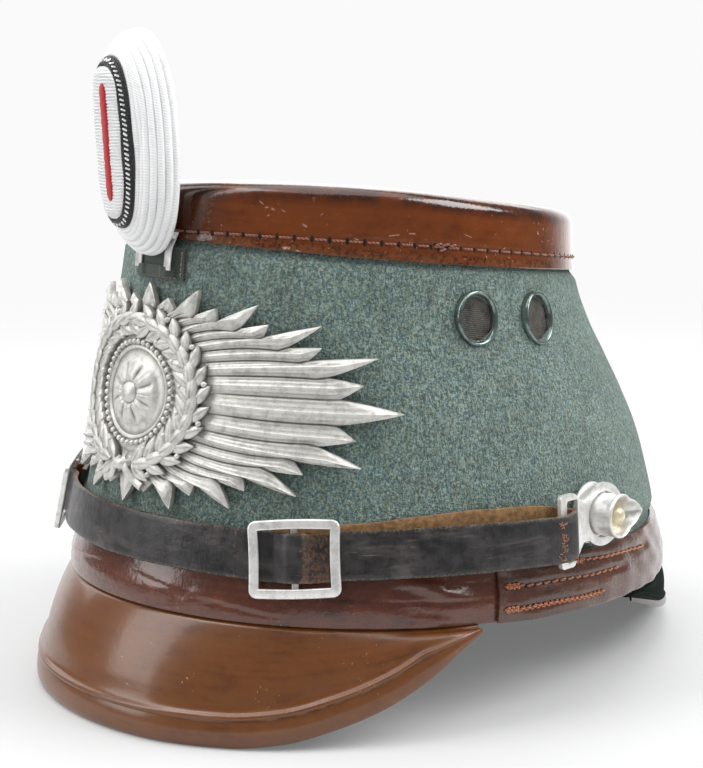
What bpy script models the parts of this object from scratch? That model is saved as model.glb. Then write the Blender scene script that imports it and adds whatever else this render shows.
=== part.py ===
"""A leather and felt shako, at rest on its front peak and neck peak.

Frame: +Z up, the front towards -Y, the wearer's left towards +X, floor at
z = 0.  Every length in the tables is in millimetres and every angle in
degrees, counted from the front (0) towards +X (90).
"""

import math

import bpy
import numpy as np

for old in list(bpy.data.objects):
    bpy.data.objects.remove(old, do_unlink=True)

MM = 0.001
GAP = 0.3

# ---------------------------------------------------------------- crown form
BASE_Z, BASE_SLOPE = 27.8, -0.064  # plane of the lower edge: z = BASE_Z + BASE_SLOPE * y
TOP_Z, TOP_SLOPE = 145.5, -0.093  # plane of the lid rim
BASE_RATIO, TOP_RATIO = 0.833, 0.882  # width over length at those planes

# share of the height, front y, rear y
CROWN = (
    (0.00, -103.6, 104.7),
    (0.04, -102.8, 104.5),
    (0.08, -101.2, 103.5),
    (0.12, -99.6, 102.1),
    (0.17, -97.9, 100.4),
    (0.22, -96.4, 98.9),
    (0.30, -94.2, 96.2),
    (0.40, -91.8, 92.0),
    (0.50, -89.7, 85.9),
    (0.60, -87.7, 78.5),
    (0.70, -85.8, 71.4),
    (0.80, -83.8, 66.4),
    (0.90, -82.5, 64.7),
    (1.00, -81.9, 64.1),
)

# angle, height of the lid band's lower edge, height of the rim, over the base plane
LID_EDGE = (
    (0, 104.0, 119.6),
    (20, 103.6, 120.9),
    (42, 102.6, 121.5),
    (60, 101.5, 121.1),
    (87, 99.9, 119.0),
    (113, 98.2, 116.8),
    (140, 96.4, 114.8),
    (180, 95.0, 113.4),
)

# angle, offset of the rim outside the base line, height of the rim over the floor
FRONT_PEAK = (
    (0, 12.6, 0.0),
    (14.3, 12.4, 0.0),
    (28.1, 10.6, 0.0),
    (36.9, 9.2, 1.4),
    (45.2, 7.9, 5.2),
    (53.1, 6.7, 10.2),
    (60.7, 4.7, 17.0),
    (66.1, 2.8, 23.8),
    (70.3, 1.2, 28.2),
)
# angle from the rear centre, offset, height
NECK_PEAK = (
    (0, 9.5, 0.0),
    (14, 8.6, 0.0),
    (24, 6.6, 0.8),
    (33, 4.2, 3.4),
    (41, 2.2, 6.6),
    (49, 1.1, 9.8),
    (57, 0.6, 13.4),
    (65, 0.3, 18.4),
    (73, 0.2, 23.4),
)

# strap centre line: angle, inner offset of the outer layer, middle height
STRAP_OUTER = (
    (0, 2.6, 19.9),
    (15, 2.8, 20.0),
    (29, 3.0, 19.7),
    (46, 3.4, 20.9),
    (59, 4.6, 22.3),
    (70, 5.9, 23.2),
    (80, 7.0, 23.7),
    (85, 7.4, 23.9),
)
STRAP_INNER = (
    (85, 2.1, 25.4),
    (80, 1.8, 26.2),
    (70, 1.2, 26.1),
    (59, 0.7, 24.6),
    (50, 0.6, 22.7),
    (42, 0.6, 21.4),
    (34, 0.6, 20.6),
)
STRAP_WIDE, STRAP_THICK = 13.8, 1.7
BUCKLE_ANGLE, BUCKLE_HIGH, BUCKLE_WIDE = 38.0, 21.2, 25.6
POST_ANGLE, POST_HIGH = 95.0, 28.2
POST_AIM, PLATE_AIM = 98.0, 92.0
STRAP_LEAN = ((0, 12.0), (60, 12.0), (75, 8.0), (85, 5.0))  # angle, lean with the wall


def smooth(x, table, column):
    """Piecewise cubic through a table's column, flat-tangent safe."""
    rows = np.array(table, float)
    xs, ys = rows[:, 0], rows[:, column]
    if xs[0] > xs[-1]:
        xs, ys = xs[::-1], ys[::-1]
    x = np.clip(np.asarray(x, float), xs[0], xs[-1])
    step = np.diff(ys) / np.diff(xs)
    slope = np.empty_like(ys)
    slope[1:-1] = np.where(
        step[:-1] * step[1:] > 0, 2 * step[:-1] * step[1:] / (step[:-1] + step[1:] + 1e-12), 0
    )
    slope[0], slope[-1] = step[0], step[-1]
    i = np.clip(np.searchsorted(xs, x, side="right") - 1, 0, len(xs) - 2)
    w = xs[i + 1] - xs[i]
    u = (x - xs[i]) / w
    return (
        ys[i] * (1 + 2 * u) * (1 - u) ** 2
        + slope[i] * w * u * (1 - u) ** 2
        + ys[i + 1] * u * u * (3 - 2 * u)
        + slope[i + 1] * w * u * u * (u - 1)
    )


def fold(angle):
    """Any angle to 0..180, for tables that hold one side."""
    return np.abs((np.asarray(angle, float) + 180) % 360 - 180)


def crown(angle, high, out=0.0):
    """Point on the crown, `high` over the base plane and `out` off its surface."""
    angle, high, out = np.broadcast_arrays(
        np.asarray(angle, float), np.asarray(high, float), np.asarray(out, float)
    )
    t = np.radians(angle)
    y = -90 * np.cos(t)
    for _ in range(6):
        share = np.clip(high / (TOP_Z - BASE_Z + (TOP_SLOPE - BASE_SLOPE) * y), 0, 1)
        front, rear = smooth(share, CROWN, 1), smooth(share, CROWN, 2)
        long, mid = (rear - front) / 2, (rear + front) / 2
        wide = long * (BASE_RATIO + (TOP_RATIO - BASE_RATIO) * share)
        nx, ny = np.sin(t) / wide, -np.cos(t) / long
        n = np.hypot(nx, ny)
        x = wide * np.sin(t) + out * nx / n
        y = mid - long * np.cos(t) + out * ny / n
    return np.stack([x, y, BASE_Z + BASE_SLOPE * y + high], -1)


def base_z(angle, out=0.0):
    return crown(angle, 0.0, out)[..., 2]


# ------------------------------------------------------------- mesh helpers
COLOURS = {
    "felt": (0.10, 0.14, 0.14, 1),
    "lid leather": (0.16, 0.04, 0.01, 1),
    "band leather": (0.05, 0.015, 0.01, 1),
    "rear leather": (0.05, 0.03, 0.025, 1),
    "peak leather": (0.18, 0.05, 0.015, 1),
    "strap leather": (0.02, 0.02, 0.022, 1),
    "metal": (0.6, 0.61, 0.6, 1),
    "vent metal": (0.10, 0.13, 0.13, 1),
    "mesh": (0.05, 0.045, 0.04, 1),
    "silver thread": (0.7, 0.7, 0.7, 1),
    "black cord": (0.01, 0.01, 0.012, 1),
    "red thread": (0.6, 0.01, 0.01, 1),
    "green cloth": (0.03, 0.05, 0.04, 1),
}
METALS = ("metal", "vent metal")


def place(name, points, faces, look, flat=False):
    mesh = bpy.data.meshes.new(name)
    points = np.asarray(points, float)
    volume = 0.0
    for face in faces:
        for j in range(1, len(face) - 1):
            a, b, c = points[face[0]], points[face[j]], points[face[j + 1]]
            volume += np.dot(a, np.cross(b, c))
    if volume < 0:
        faces = [tuple(reversed(face)) for face in faces]
    mesh.from_pydata([tuple(p * MM) for p in points], [], [tuple(map(int, f)) for f in faces])
    mesh.update()
    for polygon in mesh.polygons:
        polygon.use_smooth = not flat
    material = bpy.data.materials.new(name)
    material.use_nodes = True
    shader = material.node_tree.nodes["Principled BSDF"]
    shader.inputs["Base Color"].default_value = COLOURS[look]
    shader.inputs["Metallic"].default_value = 1.0 if look in METALS else 0.0
    shader.inputs["Roughness"].default_value = 0.45
    mesh.materials.append(material)
    thing = bpy.data.objects.new(name, mesh)
    bpy.context.scene.collection.objects.link(thing)
    return thing


def sweep(stations, closed):
    """Points and faces of a closed cross-section carried through stations."""
    stations = np.asarray(stations, float)
    n, m = stations.shape[:2]
    faces = []
    for i in range(n if closed else n - 1):
        k = (i + 1) % n
        for j in range(m):
            l = (j + 1) % m
            faces.append((i * m + j, i * m + l, k * m + l, k * m + j))
    if not closed:
        faces.append(tuple(range(m - 1, -1, -1)))
        faces.append(tuple((n - 1) * m + j for j in range(m)))
    return stations.reshape(-1, 3), faces


def frame_at(angle, high, out=0.0, aim=None):
    """Origin and the unit vectors across, up and out of the crown there."""
    p = crown(angle, high, out)
    a = np.radians(aim if aim is not None else 0.0)
    if aim is None:
        q = crown(angle, high, out + 1.0)
        outward = (q - p) / np.linalg.norm(q - p)
        outward[2] = 0
    else:
        outward = np.array([math.sin(a), -math.cos(a), 0.0])
    outward /= np.linalg.norm(outward)
    up = np.array([0.0, 0.0, 1.0])
    across = np.cross(up, outward)
    return p, across, up, outward


def tilt_frame(frame, lean):
    """Leans a frame's face back by `lean` degrees, as the wall leans."""
    p, across, up, outward = frame
    a = math.radians(lean)
    return (
        p,
        across,
        up * math.cos(a) - outward * math.sin(a),
        outward * math.cos(a) + up * math.sin(a),
    )


def local(frame, xyz):
    p, across, up, outward = frame
    xyz = np.asarray(xyz, float)
    return p + xyz[..., :1] * across + xyz[..., 1:2] * up + xyz[..., 2:3] * outward


def revolve(frame, profile, steps=32):
    """Closed (radius, out) profile turned round a frame's outward axis."""
    profile = np.array(profile, float)
    turn = np.linspace(0, 2 * np.pi, steps, endpoint=False)
    stations = np.stack(
        [
            np.stack(
                [profile[:, 0] * np.cos(t), profile[:, 0] * np.sin(t), profile[:, 1]], -1
            )
            for t in turn
        ]
    )
    return sweep(local(frame, stations), True)


def turned(frame, profile, steps=32):
    """Like revolve, for an open profile that starts and ends on the axis."""
    profile = np.array(profile, float)
    turn = np.linspace(0, 2 * np.pi, steps, endpoint=False)
    rings = [
        np.stack([r * np.cos(turn), r * np.sin(turn), np.full(steps, o)], -1)
        for r, o in profile[1:-1]
    ]
    points = np.concatenate(
        [[[0, 0, profile[0, 1]]], *rings, [[0, 0, profile[-1, 1]]]]
    )
    faces = []
    for j in range(steps):
        k = (j + 1) % steps
        faces.append((0, 1 + k, 1 + j))
        for i in range(len(rings) - 1):
            a, b = 1 + i * steps, 1 + (i + 1) * steps
            faces.append((a + j, a + k, b + k, b + j))
        a = 1 + (len(rings) - 1) * steps
        faces.append((a + j, a + k, len(points) - 1))
    return local(frame, points), faces


def plate(frame_points, thick_points):
    """Closed solid between two matching outlines, each one polygon."""
    n = len(frame_points)
    points = np.concatenate([frame_points, thick_points])
    faces = [tuple(range(n)), tuple(range(2 * n - 1, n - 1, -1))]
    faces += [(i, n + i, n + (i + 1) % n, (i + 1) % n) for i in range(n)]
    return points, faces


# ------------------------------------------------------------------- crown
AROUND = np.arange(0, 360, 10.0)


def felt_body():
    stations = []
    for angle in AROUND:
        edge = float(smooth(fold(angle), LID_EDGE, 1))
        rows = [(4.6, -2.2), (11.0, -2.2), (18.1, -2.2), (20.6, -0.7), (26.0, 0.0)]
        rows += [(high, 0.0) for high in (36, 47, 58, 68, 77, 87)]
        rows += [(edge - 2.2, -0.8), (edge - 0.5, -1.75), (edge + 9, -1.9)]
        outer = [crown(angle, high, out) for high, out in rows]
        inner = [crown(angle, high, out - 2.6) for high, out in rows]
        stations.append(outer + inner[::-1])
    body = place("felt_body", *sweep(stations, True), "felt")
    return body


def vent_frame(side, which):
    angle = (78.6, 97.2)[which] * side
    high = (85.5, 84.7)[which]
    frame = frame_at(angle, high, 0.0)
    below, above = crown(angle, high - 7, 0.0), crown(angle, high + 7, 0.0)
    lean = math.degrees(
        math.atan2(
            float(np.dot(below - above, frame[3])), float(above[2] - below[2])
        )
    )
    return tilt_frame(frame, lean)


def cut(target, name, points, faces):
    cutter = place(name, points, faces, "metal")
    cutter.hide_render = True
    cutter.display_type = "WIRE"
    modifier = target.modifiers.new(name, "BOOLEAN")
    modifier.operation = "DIFFERENCE"
    modifier.solver = "EXACT"
    modifier.object = cutter


def vents(body):
    for side, word in ((1, "left"), (-1, "right")):
        for which, place_word in enumerate(("front", "rear")):
            frame = vent_frame(side, which)
            cut(
                body,
                f"cut_vent_{place_word}_{word}",
                *turned(frame, [(0, -9), (6.5, -9), (6.5, 5), (0, 5)], 16),
            )
            ring = [
                (5.7, -3.4), (6.15, -3.4), (6.15, 0.35), (8.3, 0.35), (7.7, 1.35), (5.8, 1.2),
            ]
            place(f"vent_ring_{place_word}_{word}", *revolve(frame, ring, 16), "vent metal")
            disc = [(0, -1.35), (5.3, -1.35), (5.3, -0.75), (0, -0.4)]
            place(f"vent_mesh_{place_word}_{word}", *turned(frame, disc, 16), "mesh")


def lid():
    thick = 1.4
    stations_out, stations_in = [], []
    for angle in AROUND:
        low = float(smooth(fold(angle), LID_EDGE, 1))
        top = float(smooth(fold(angle), LID_EDGE, 2))
        side = (low, top - 4.6)
        outer = [crown(angle, h, 0.0) for h in side]
        outer += [
            crown(angle, top - d, o)
            for d, o in ((2.3, -0.6), (0.7, -2.0), (0.0, -4.2))
        ]
        inner = [crown(angle, h, -thick) for h in side]
        inner += [
            crown(angle, top - d, o)
            for d, o in ((3.2, -1.8), (2.0, -2.9), (thick, -4.4))
        ]
        stations_out.append(outer)
        stations_in.append(inner)
    out, ins = np.array(stations_out), np.array(stations_in)
    n, m = out.shape[:2]
    # fraction of the way in to the centre, lift of the raised middle
    steps = ((0.32, 0.1), (0.40, 0.8), (0.48, 1.5), (0.74, 1.9))
    centre_out = out[:, -1].mean(0)
    centre_in = ins[:, -1].mean(0)
    rings = []
    for k in range(m):
        rings.append(out[:, k])
    for f, lift in steps:
        ring = out[:, -1] * (1 - f) + centre_out * f
        ring[:, 2] += lift
        rings.append(ring)
    rings_in = [ins[:, k] for k in range(m)]
    for f, lift in steps:
        ring = ins[:, -1] * (1 - f) + centre_in * f
        ring[:, 2] += lift
        rings_in.append(ring)
    top_point = centre_out + [0, 0, 2.0]
    under_point = centre_in + [0, 0, 2.0]
    total = len(rings)
    points = np.concatenate([*rings, [top_point], *rings_in, [under_point]])
    faces = []
    half = total * n + 1
    for r in range(total - 1):
        for i in range(n):
            j = (i + 1) % n
            a, b = r * n, (r + 1) * n
            faces.append((a + i, a + j, b + j, b + i))
            a, b = half + r * n, half + (r + 1) * n
            faces.append((a + j, a + i, b + i, b + j))
    for i in range(n):
        j = (i + 1) % n
        a = (total - 1) * n
        faces.append((a + i, a + j, total * n))
        faces.append((half + a + j, half + a + i, half + total * n))
        faces.append((j, i, half + i, half + j))
    place("crown_lid", points, faces, "lid leather")


def bands():
    # angle, outer offset, inner offset
    front = ((0, -0.30, -1.70), (62.5, -0.30, -1.70), (69.8, -1.05, -1.72), (79.8, -1.15, -1.72))
    stations = []
    for angle in np.linspace(-79.8, 79.8, 29):
        outer = float(np.interp(abs(angle), [r[0] for r in front], [r[1] for r in front]))
        inner = float(np.interp(abs(angle), [r[0] for r in front], [r[2] for r in front]))
        loop = [(0.35, inner), (0.0, (inner + outer) / 2), (0.35, outer), (5, outer),
                (10, outer), (15.2, outer - 0.05), (16.2, (inner + outer) / 2), (15.8, inner),
                (8, inner)]
        stations.append([crown(angle, h, o) for h, o in loop])
    place("front_band", *sweep(stations, False), "band leather")
    rear = ((73.5, 0.35, -0.70), (81.2, 0.35, -0.70), (85, 0.1, -1.5), (91, 0.0, -1.7), (180, 0.0, -1.7))
    stations = []
    spots = [73.5, 76, 78.6, 81.2, 83.2, 85, 88, 91] + list(np.arange(97, 264, 7.2))
    spots += [269, 272, 275, 276.8, 278.8, 281.4, 284, 286.5]
    for angle in spots:
        side = float(fold(angle))
        outer = float(np.interp(side, [r[0] for r in rear], [r[1] for r in rear]))
        inner = float(np.interp(side, [r[0] for r in rear], [r[2] for r in rear]))
        loop = [(0.35, inner), (0.0, (inner + outer) / 2), (0.5, outer), (5, outer),
                (11, outer), (16.6, outer - 0.1), (17.6, (inner + outer) / 2), (17.2, inner),
                (8, inner)]
        stations.append([crown(angle, h, o) for h, o in loop])
    place("rear_band", *sweep(stations, False), "rear leather")


def peak_loop(angle, out, low, bead, thick, flange):
    """Cross-section of a peak: flange inside the crown, slope, rolled rim."""
    base = float(base_z(angle))
    depth = base - low
    bead = min(bead, 0.62 * depth)
    k = bead / 9.4
    point = lambda o, z: crown(angle, z - float(base_z(angle, o)), o)
    top = base - 1.0
    crest = low + bead
    pts = [point(-2.35, base + flange), point(-2.35, base + 0.6), point(-1.5, base - 0.45),
           point(-0.4, top - 0.2)]
    for f in (0.33, 0.66):
        bulge = 1.1 * 4 * f * (1 - f) * min(1, depth / 25)
        pts.append(point(-0.4 + f * (out - 2.6 * k + 0.4) + bulge, top + f * (crest + 2.2 * k - top)))
    pts += [
        point(out - 2.3 * k, crest + 1.6 * k),
        point(out - 1.3 * k, crest),
        point(out - 1.1 * k, low + 0.72 * bead),
        point(out - 0.1 * k, low + 0.42 * bead),
        point(out - 0.1 * k, low + 0.20 * bead),
        point(out - 0.9 * k, low + 0.05 * bead),
        point(out - 1.7 * k, low),
        point(out - 2.9 * k, low),
        point(out - 3.6 * k, low + 0.08 * bead),
        point(out - 3.9 * k - 0.1, low + 0.35 * bead),
        point(out - 4.0 * k - 0.3, low + 0.8 * bead),
    ]
    for f in (0.72, 0.38):
        bulge = 0.9 * 4 * f * (1 - f) * min(1, depth / 25)
        pts.append(point(-2.9 + f * (out - 4.3 * k + 2.4) + bulge, top - 0.6 + f * (crest + 0.8 * k - top)))
    pts += [point(-3.1, base - 1.4), point(-2.35 - thick, base + 0.6), point(-2.35 - thick, base + flange)]
    return pts


def peaks():
    ends = FRONT_PEAK[-1][0]
    spots = np.concatenate([[-ends, -67.6], np.linspace(-64, 64, 23), [67.6, ends]])
    stations = [
        peak_loop(a, float(smooth(abs(a), FRONT_PEAK, 1)), float(smooth(abs(a), FRONT_PEAK, 2)), 9.4, 1.7, 3.7)
        for a in spots
    ]
    place("front_peak", *sweep(stations, False), "peak leather")
    ends = NECK_PEAK[-1][0]
    spots = np.concatenate([[-ends], np.linspace(-68, 68, 19), [ends]])
    stations = []
    for a in spots:
        out, low = (float(smooth(abs(a), NECK_PEAK, c)) for c in (1, 2))
        stations.append(peak_loop(180 + a, out, low, 3.4, 1.7, 3.7))
    place("neck_peak", *sweep(stations, False), "peak leather")


# ------------------------------------------------------------------- strap
def buckle_frame(side):
    frame = frame_at(BUCKLE_ANGLE * side, 20.0, 6.2)
    return tilt_frame(frame, 12.0)


def side_path(side):
    """Half of the strap's middle line, from the front centre to the inner end.

    Rows of position and outward direction; the outer layer, the turn through
    the end fitting, and the inner layer back to behind the buckle.
    """
    def on(angle, out, high):
        p = crown(angle * side, high, out)
        q = crown(angle * side, high, out + 1)
        d = q - p
        d[2] = 0
        return p, d / np.linalg.norm(d)

    def leaning(p, d, angle):
        a = math.radians(float(smooth(angle, STRAP_LEAN, 1)))
        return p, d, np.array([0, 0, math.cos(a)]) - d * math.sin(a)

    half = STRAP_THICK / 2
    rows = []
    # angle from the buckle's middle, extra offset where the strap weaves
    for angle in (0, 8, 16, 23, 29.8):
        rows.append(leaning(*on(angle, float(smooth(angle, STRAP_OUTER, 1)) + half, float(smooth(angle, STRAP_OUTER, 2))), angle))
    frame = buckle_frame(side)
    for x, lift in ((-6.5, -2.5), (-4.0, -1.2), (-2.0, 0.55), (0.0, 0.75), (2.0, 0.55), (4.0, -1.2), (6.5, -2.5)):
        p = local(frame, [x * side, 0.2, lift])
        rows.append((p, frame[3], frame[2]))
    for angle in (46, 52, 58, 64, 69, 74, 79, 84.5):
        rows.append(leaning(*on(angle, float(smooth(angle, STRAP_OUTER, 1)) + half, float(smooth(angle, STRAP_OUTER, 2))), angle))
    end, outward = on(85, 0.0, 24.6)
    up = leaning(end, outward, 85)[2]
    forward = np.cross([0, 0, 1.0], outward) * side
    low, high = 2.1 + half, 7.4 + half
    centre, radius = (low + high) / 2, (high - low) / 2
    for turn in (65, 40, 15, -15, -40, -65):
        a = math.radians(turn)
        p = end + outward * (centre + radius * math.sin(a)) + forward * (1.75 + radius * math.cos(a))
        d = outward * math.sin(a) + forward * math.cos(a)
        rows.append((p, d / np.linalg.norm(d), up))
    for angle in (83, 79, 74, 69, 63, 57, 51, 45, 39, 33.5):
        p, d, up = leaning(*on(angle, float(smooth(angle, STRAP_INNER, 1)) + half, float(smooth(angle, STRAP_INNER, 2))), angle)
        rows.append((p, -d, up))
    return rows


def strap():
    right = side_path(-1)
    left = side_path(1)
    rows = right[::-1] + left[1:]
    half, wide = STRAP_THICK / 2, STRAP_WIDE / 2
    # The faces turn over at each fold, so the section is carried along the path.
    centre = np.array([row[0] for row in rows])
    stations = []
    for i, (p, d, lean) in enumerate(rows):
        before, after = centre[max(i - 1, 0)], centre[min(i + 1, len(rows) - 1)]
        along = after - before
        normal = np.cross(along, lean)
        normal /= np.linalg.norm(normal)
        if np.dot(normal, d) < 0:
            normal = -normal
        loop = [(-half, -wide + 0.3), (-half, wide - 0.3), (0.0, wide), (half, wide - 0.3),
                (half, -wide + 0.3), (0.0, -wide)]
        stations.append([p + normal * n + lean * w for n, w in loop])
    place("chin_strap", *sweep(stations, False), "strap leather")


def box_loop(x0, x1, y0, y1, z0, z1):
    corners = [(x, y, z) for x in (x0, x1) for y in (y0, y1) for z in (z0, z1)]
    faces = [(0, 1, 3, 2), (4, 6, 7, 5), (0, 4, 5, 1), (2, 3, 7, 6), (0, 2, 6, 4), (1, 5, 7, 3)]
    return corners, faces


def buckles():
    for side, word in ((1, "left"), (-1, "right")):
        frame = buckle_frame(side)
        wide, high, bar = BUCKLE_WIDE / 2, BUCKLE_HIGH / 2, 2.7
        xs = [-wide, -wide + bar, -0.9, 0.9, wide - bar, wide]
        ys = [-high, -high + bar, high - bar, high]
        front, back = 1.1, -1.1
        bar_front, bar_back = -0.35, -1.6
        points, faces, index = [], [], {}

        def node(x, y, z):
            key = (round(x, 4), round(y, 4), round(z, 4))
            if key not in index:
                index[key] = len(points)
                points.append((x, y, z))
            return index[key]

        def solid(i, j):
            return j in (0, 2) or i in (0, 4)

        for i in range(5):
            for j in range(3):
                if not solid(i, j):
                    continue
                x0, x1, y0, y1 = xs[i], xs[i + 1], ys[j], ys[j + 1]
                faces.append([node(x0, y0, front), node(x1, y0, front), node(x1, y1, front), node(x0, y1, front)])
                faces.append([node(x0, y0, back), node(x0, y1, back), node(x1, y1, back), node(x1, y0, back)])
                for di, dj, a, b in ((0, -1, (x0, y0), (x1, y0)), (1, 0, (x1, y0), (x1, y1)),
                                     (0, 1, (x1, y1), (x0, y1)), (-1, 0, (x0, y1), (x0, y0))):
                    ni, nj = i + di, j + dj
                    if 0 <= ni < 5 and 0 <= nj < 3 and solid(ni, nj):
                        continue
                    faces.append([node(*a, back), node(*b, back), node(*b, front), node(*a, front)])
        spots = local(frame, np.array(points))
        buckle = place(f"slide_buckle_{word}", spots, faces, "metal", flat=True)
        corners, box_faces = box_loop(-0.9, 0.9, -high + bar - 1.0, high - bar + 1.0, bar_back, bar_front)
        bar_thing = place(f"add_bar_{word}", local(frame, np.array(corners)), box_faces, "metal")
        bar_thing.hide_render = True
        bar_thing.display_type = "WIRE"
        modifier = buckle.modifiers.new("bar", "BOOLEAN")
        modifier.operation = "UNION"
        modifier.solver = "EXACT"
        modifier.object = bar_thing


def post_frame(side):
    return tilt_frame(frame_at(POST_ANGLE * side, POST_HIGH, 0.0, POST_AIM * side), 3.0)


def plate_frame(side):
    """The end fitting is flat and turns a little forward of the post."""
    return tilt_frame(frame_at(POST_ANGLE * side, POST_HIGH, 0.0, PLATE_AIM * side), 3.0)


def fittings():
    for side, word in ((1, "left"), (-1, "right")):
        post = post_frame(side)
        # side post: rivet inside, base disc, neck, open barrel with a stud
        profile = [
            (0, -5.2), (3.4, -5.2), (3.4, -4.4), (1.9, -4.2), (1.9, 1.25), (9.1, 1.25), (8.6, 2.6),
            (6.3, 2.8), (6.3, 11.4), (7.4, 11.8), (7.0, 13.0), (5.2, 12.8), (5.1, 5.2),
            (1.7, 5.0), (1.5, 9.2), (0, 9.9),
        ]
        body = place(f"side_post_{word}", *turned(post, profile, 18), "metal")
        # lip: a wedge that points to the rear and out
        lip = np.array([(6.6, 4.6, 11.3), (6.6, -4.6, 11.3), (11.6, 0.4, 12.8), (6.6, 4.6, 12.7),
                        (6.6, -4.6, 12.7), (11.6, 0.4, 14.0)])
        lip[:, 0] *= 1.0
        lip_faces = [(0, 2, 1), (3, 4, 5), (0, 1, 4, 3), (1, 2, 5, 4), (2, 0, 3, 5)]
        lip_points = local(post, lip * [side, 1, 1])
        helper = place(f"add_lip_{word}", lip_points, lip_faces, "metal")
        helper.hide_render = True
        helper.display_type = "WIRE"
        modifier = body.modifiers.new("lip", "BOOLEAN")
        modifier.operation = "UNION"
        modifier.solver = "EXACT"
        modifier.object = helper
        # end fitting: a ring on the barrel and a slotted frame in the strap's turn
        outer, inner = [], []
        low, high = 5.0, 6.4
        flat = plate_frame(side)
        ring = [(0.6 + 9.4 * math.cos(math.radians(a)), 9.4 * math.sin(math.radians(a))) for a in np.linspace(-138, 138, 19)]
        frame_outline = [(-9.6, 6.4), (-11.6, 8.4), (-18.8, 8.4), (-18.8, -13.9), (-11.6, -13.9), (-9.6, -9.6)]
        outline = ring + frame_outline
        outline = [(x, y) for x, y in outline]
        eye = [(0.6 + 6.9 * math.cos(math.radians(a)), 6.9 * math.sin(math.radians(a))) for a in np.arange(0, 360, 20)]
        lo = local(flat, [(x * side, y, low) for x, y in outline])
        hi = local(flat, [(x * side, y, high) for x, y in outline])
        fitting = place(f"strap_end_{word}", *plate(lo, hi), "metal", flat=True)
        eye_lo = local(flat, [(x * side, y, low - 1) for x, y in eye])
        eye_hi = local(flat, [(x * side, y, high + 1) for x, y in eye])
        cut(fitting, f"cut_eye_{word}", *plate(eye_lo, eye_hi))
        slot = [(-11.3, 6.6), (-15.8, 6.6), (-15.8, -12.3), (-11.3, -12.3)]
        cut(
            fitting,
            f"cut_slot_{word}",
            *plate(
                local(flat, [(x * side, y, low - 1.5) for x, y in slot]),
                local(flat, [(x * side, y, high + 1.5) for x, y in slot]),
            ),
        )


# ------------------------------------------------------------ badge, cockade
BADGE_MID = 59.6  # height of the badge's centre over the base plane
BADGE_OUT = 1.3
BADGE_WIDE, BADGE_HIGH = 81.0, 31.8  # half sizes of the rayed outline


def arc_angle(across, high):
    """Angle whose arc along the crown at that height is `across` mm."""
    grid = np.linspace(-85, 85, 341)
    line = crown(grid, high, BADGE_OUT)
    step = np.hypot(*(np.diff(line[:, :2], axis=0).T))
    length = np.concatenate([[0], np.cumsum(step)])
    length -= length[170]
    return float(np.interp(across, length, grid))


RAYS = 40


def plate_turns(steps):
    """Polar angles that share the plate's elliptical edge out evenly."""
    grid = np.linspace(0, 2 * np.pi, 1441)
    x, y = BADGE_WIDE * np.cos(grid), BADGE_HIGH * np.sin(grid)
    length = np.concatenate([[0], np.cumsum(np.hypot(np.diff(x), np.diff(y)))])
    even = np.interp(np.arange(steps) / steps * length[-1], length, grid)
    return BADGE_WIDE * np.cos(even), BADGE_HIGH * np.sin(even)


def ray_share(turn):
    """Edge of the rayed plate at a share of its way round: long and short pointed rays."""
    place_on = turn * RAYS
    tooth = abs((place_on % 1.0) - 0.5) * 2
    longer = 1.0 if int(place_on + 0.5) % 2 == 0 else 0.88
    return 0.78 + (longer - 0.78) * tooth


def badge():
    steps, rings = 2 * RAYS, (0.0, 0.13, 0.25, 0.30, 0.42, 0.52, 0.62, 0.80, 1.0)
    # relief of the front face at those fractions: boss, field, wreath, rays
    relief = (6.4, 5.8, 3.0, 2.8, 4.6, 4.4, 2.4, 2.0, 1.5)
    edge_x, edge_y = plate_turns(steps)
    front, back = [], []
    for f, rise in zip(rings, relief):
        row_f, row_b = [], []
        for i in range(steps if f else 1):
            out = f * (1 - f**3 + ray_share(i / steps) * f**3)
            x, y = out * edge_x[i], out * edge_y[i]
            # the middle goes over to a circle
            turn = math.atan2(edge_y[i] / BADGE_HIGH, edge_x[i] / BADGE_WIDE)
            blend = max(0.0, min(1.0, (0.85 - f) / 0.5))
            x = x * (1 - blend) + f * 42.0 * math.cos(turn) * blend
            y = y * (1 - blend) + f * 42.0 * math.sin(turn) * blend
            high = BADGE_MID + y
            angle = arc_angle(x, high)
            row_f.append(crown(angle, high, BADGE_OUT + rise))
            row_b.append(crown(angle, high, BADGE_OUT))
        front.append(row_f)
        back.append(row_b)
    points = [front[0][0]] + [p for row in front[1:] for p in row]
    points += [back[0][0]] + [p for row in back[1:] for p in row]
    count = len(rings) - 1
    half = 1 + count * steps
    faces = []
    for i in range(steps):
        j = (i + 1) % steps
        faces.append((0, 1 + i, 1 + j))
        faces.append((half, half + 1 + j, half + 1 + i))
        for r in range(count - 1):
            a, b = 1 + r * steps, 1 + (r + 1) * steps
            faces.append((a + i, b + i, b + j, a + j))
            faces.append((half + a + j, half + b + j, half + b + i, half + a + i))
        a = 1 + (count - 1) * steps
        faces.append((a + i, half + a + i, half + a + j, a + j))
    thing = place("front_badge", np.array(points), faces, "metal")
    for side, word in ((1, "a"), (-1, "b")):
        angle = arc_angle(24.0 * side, BADGE_MID)
        frame = frame_at(angle, BADGE_MID, 0.0)
        pin = place(f"add_pin_{word}", *turned(frame, [(0, -6.5), (1.2, -6.5), (1.2, 2.2), (0, 2.2)], 12), "metal")
        pin.hide_render = True
        pin.display_type = "WIRE"
        modifier = thing.modifiers.new(f"pin_{word}", "BOOLEAN")
        modifier.operation = "UNION"
        modifier.solver = "EXACT"
        modifier.object = pin


COCKADE_AT = (0.0, -87.9, 164.1)
COCKADE_LEAN = 2.0


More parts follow.
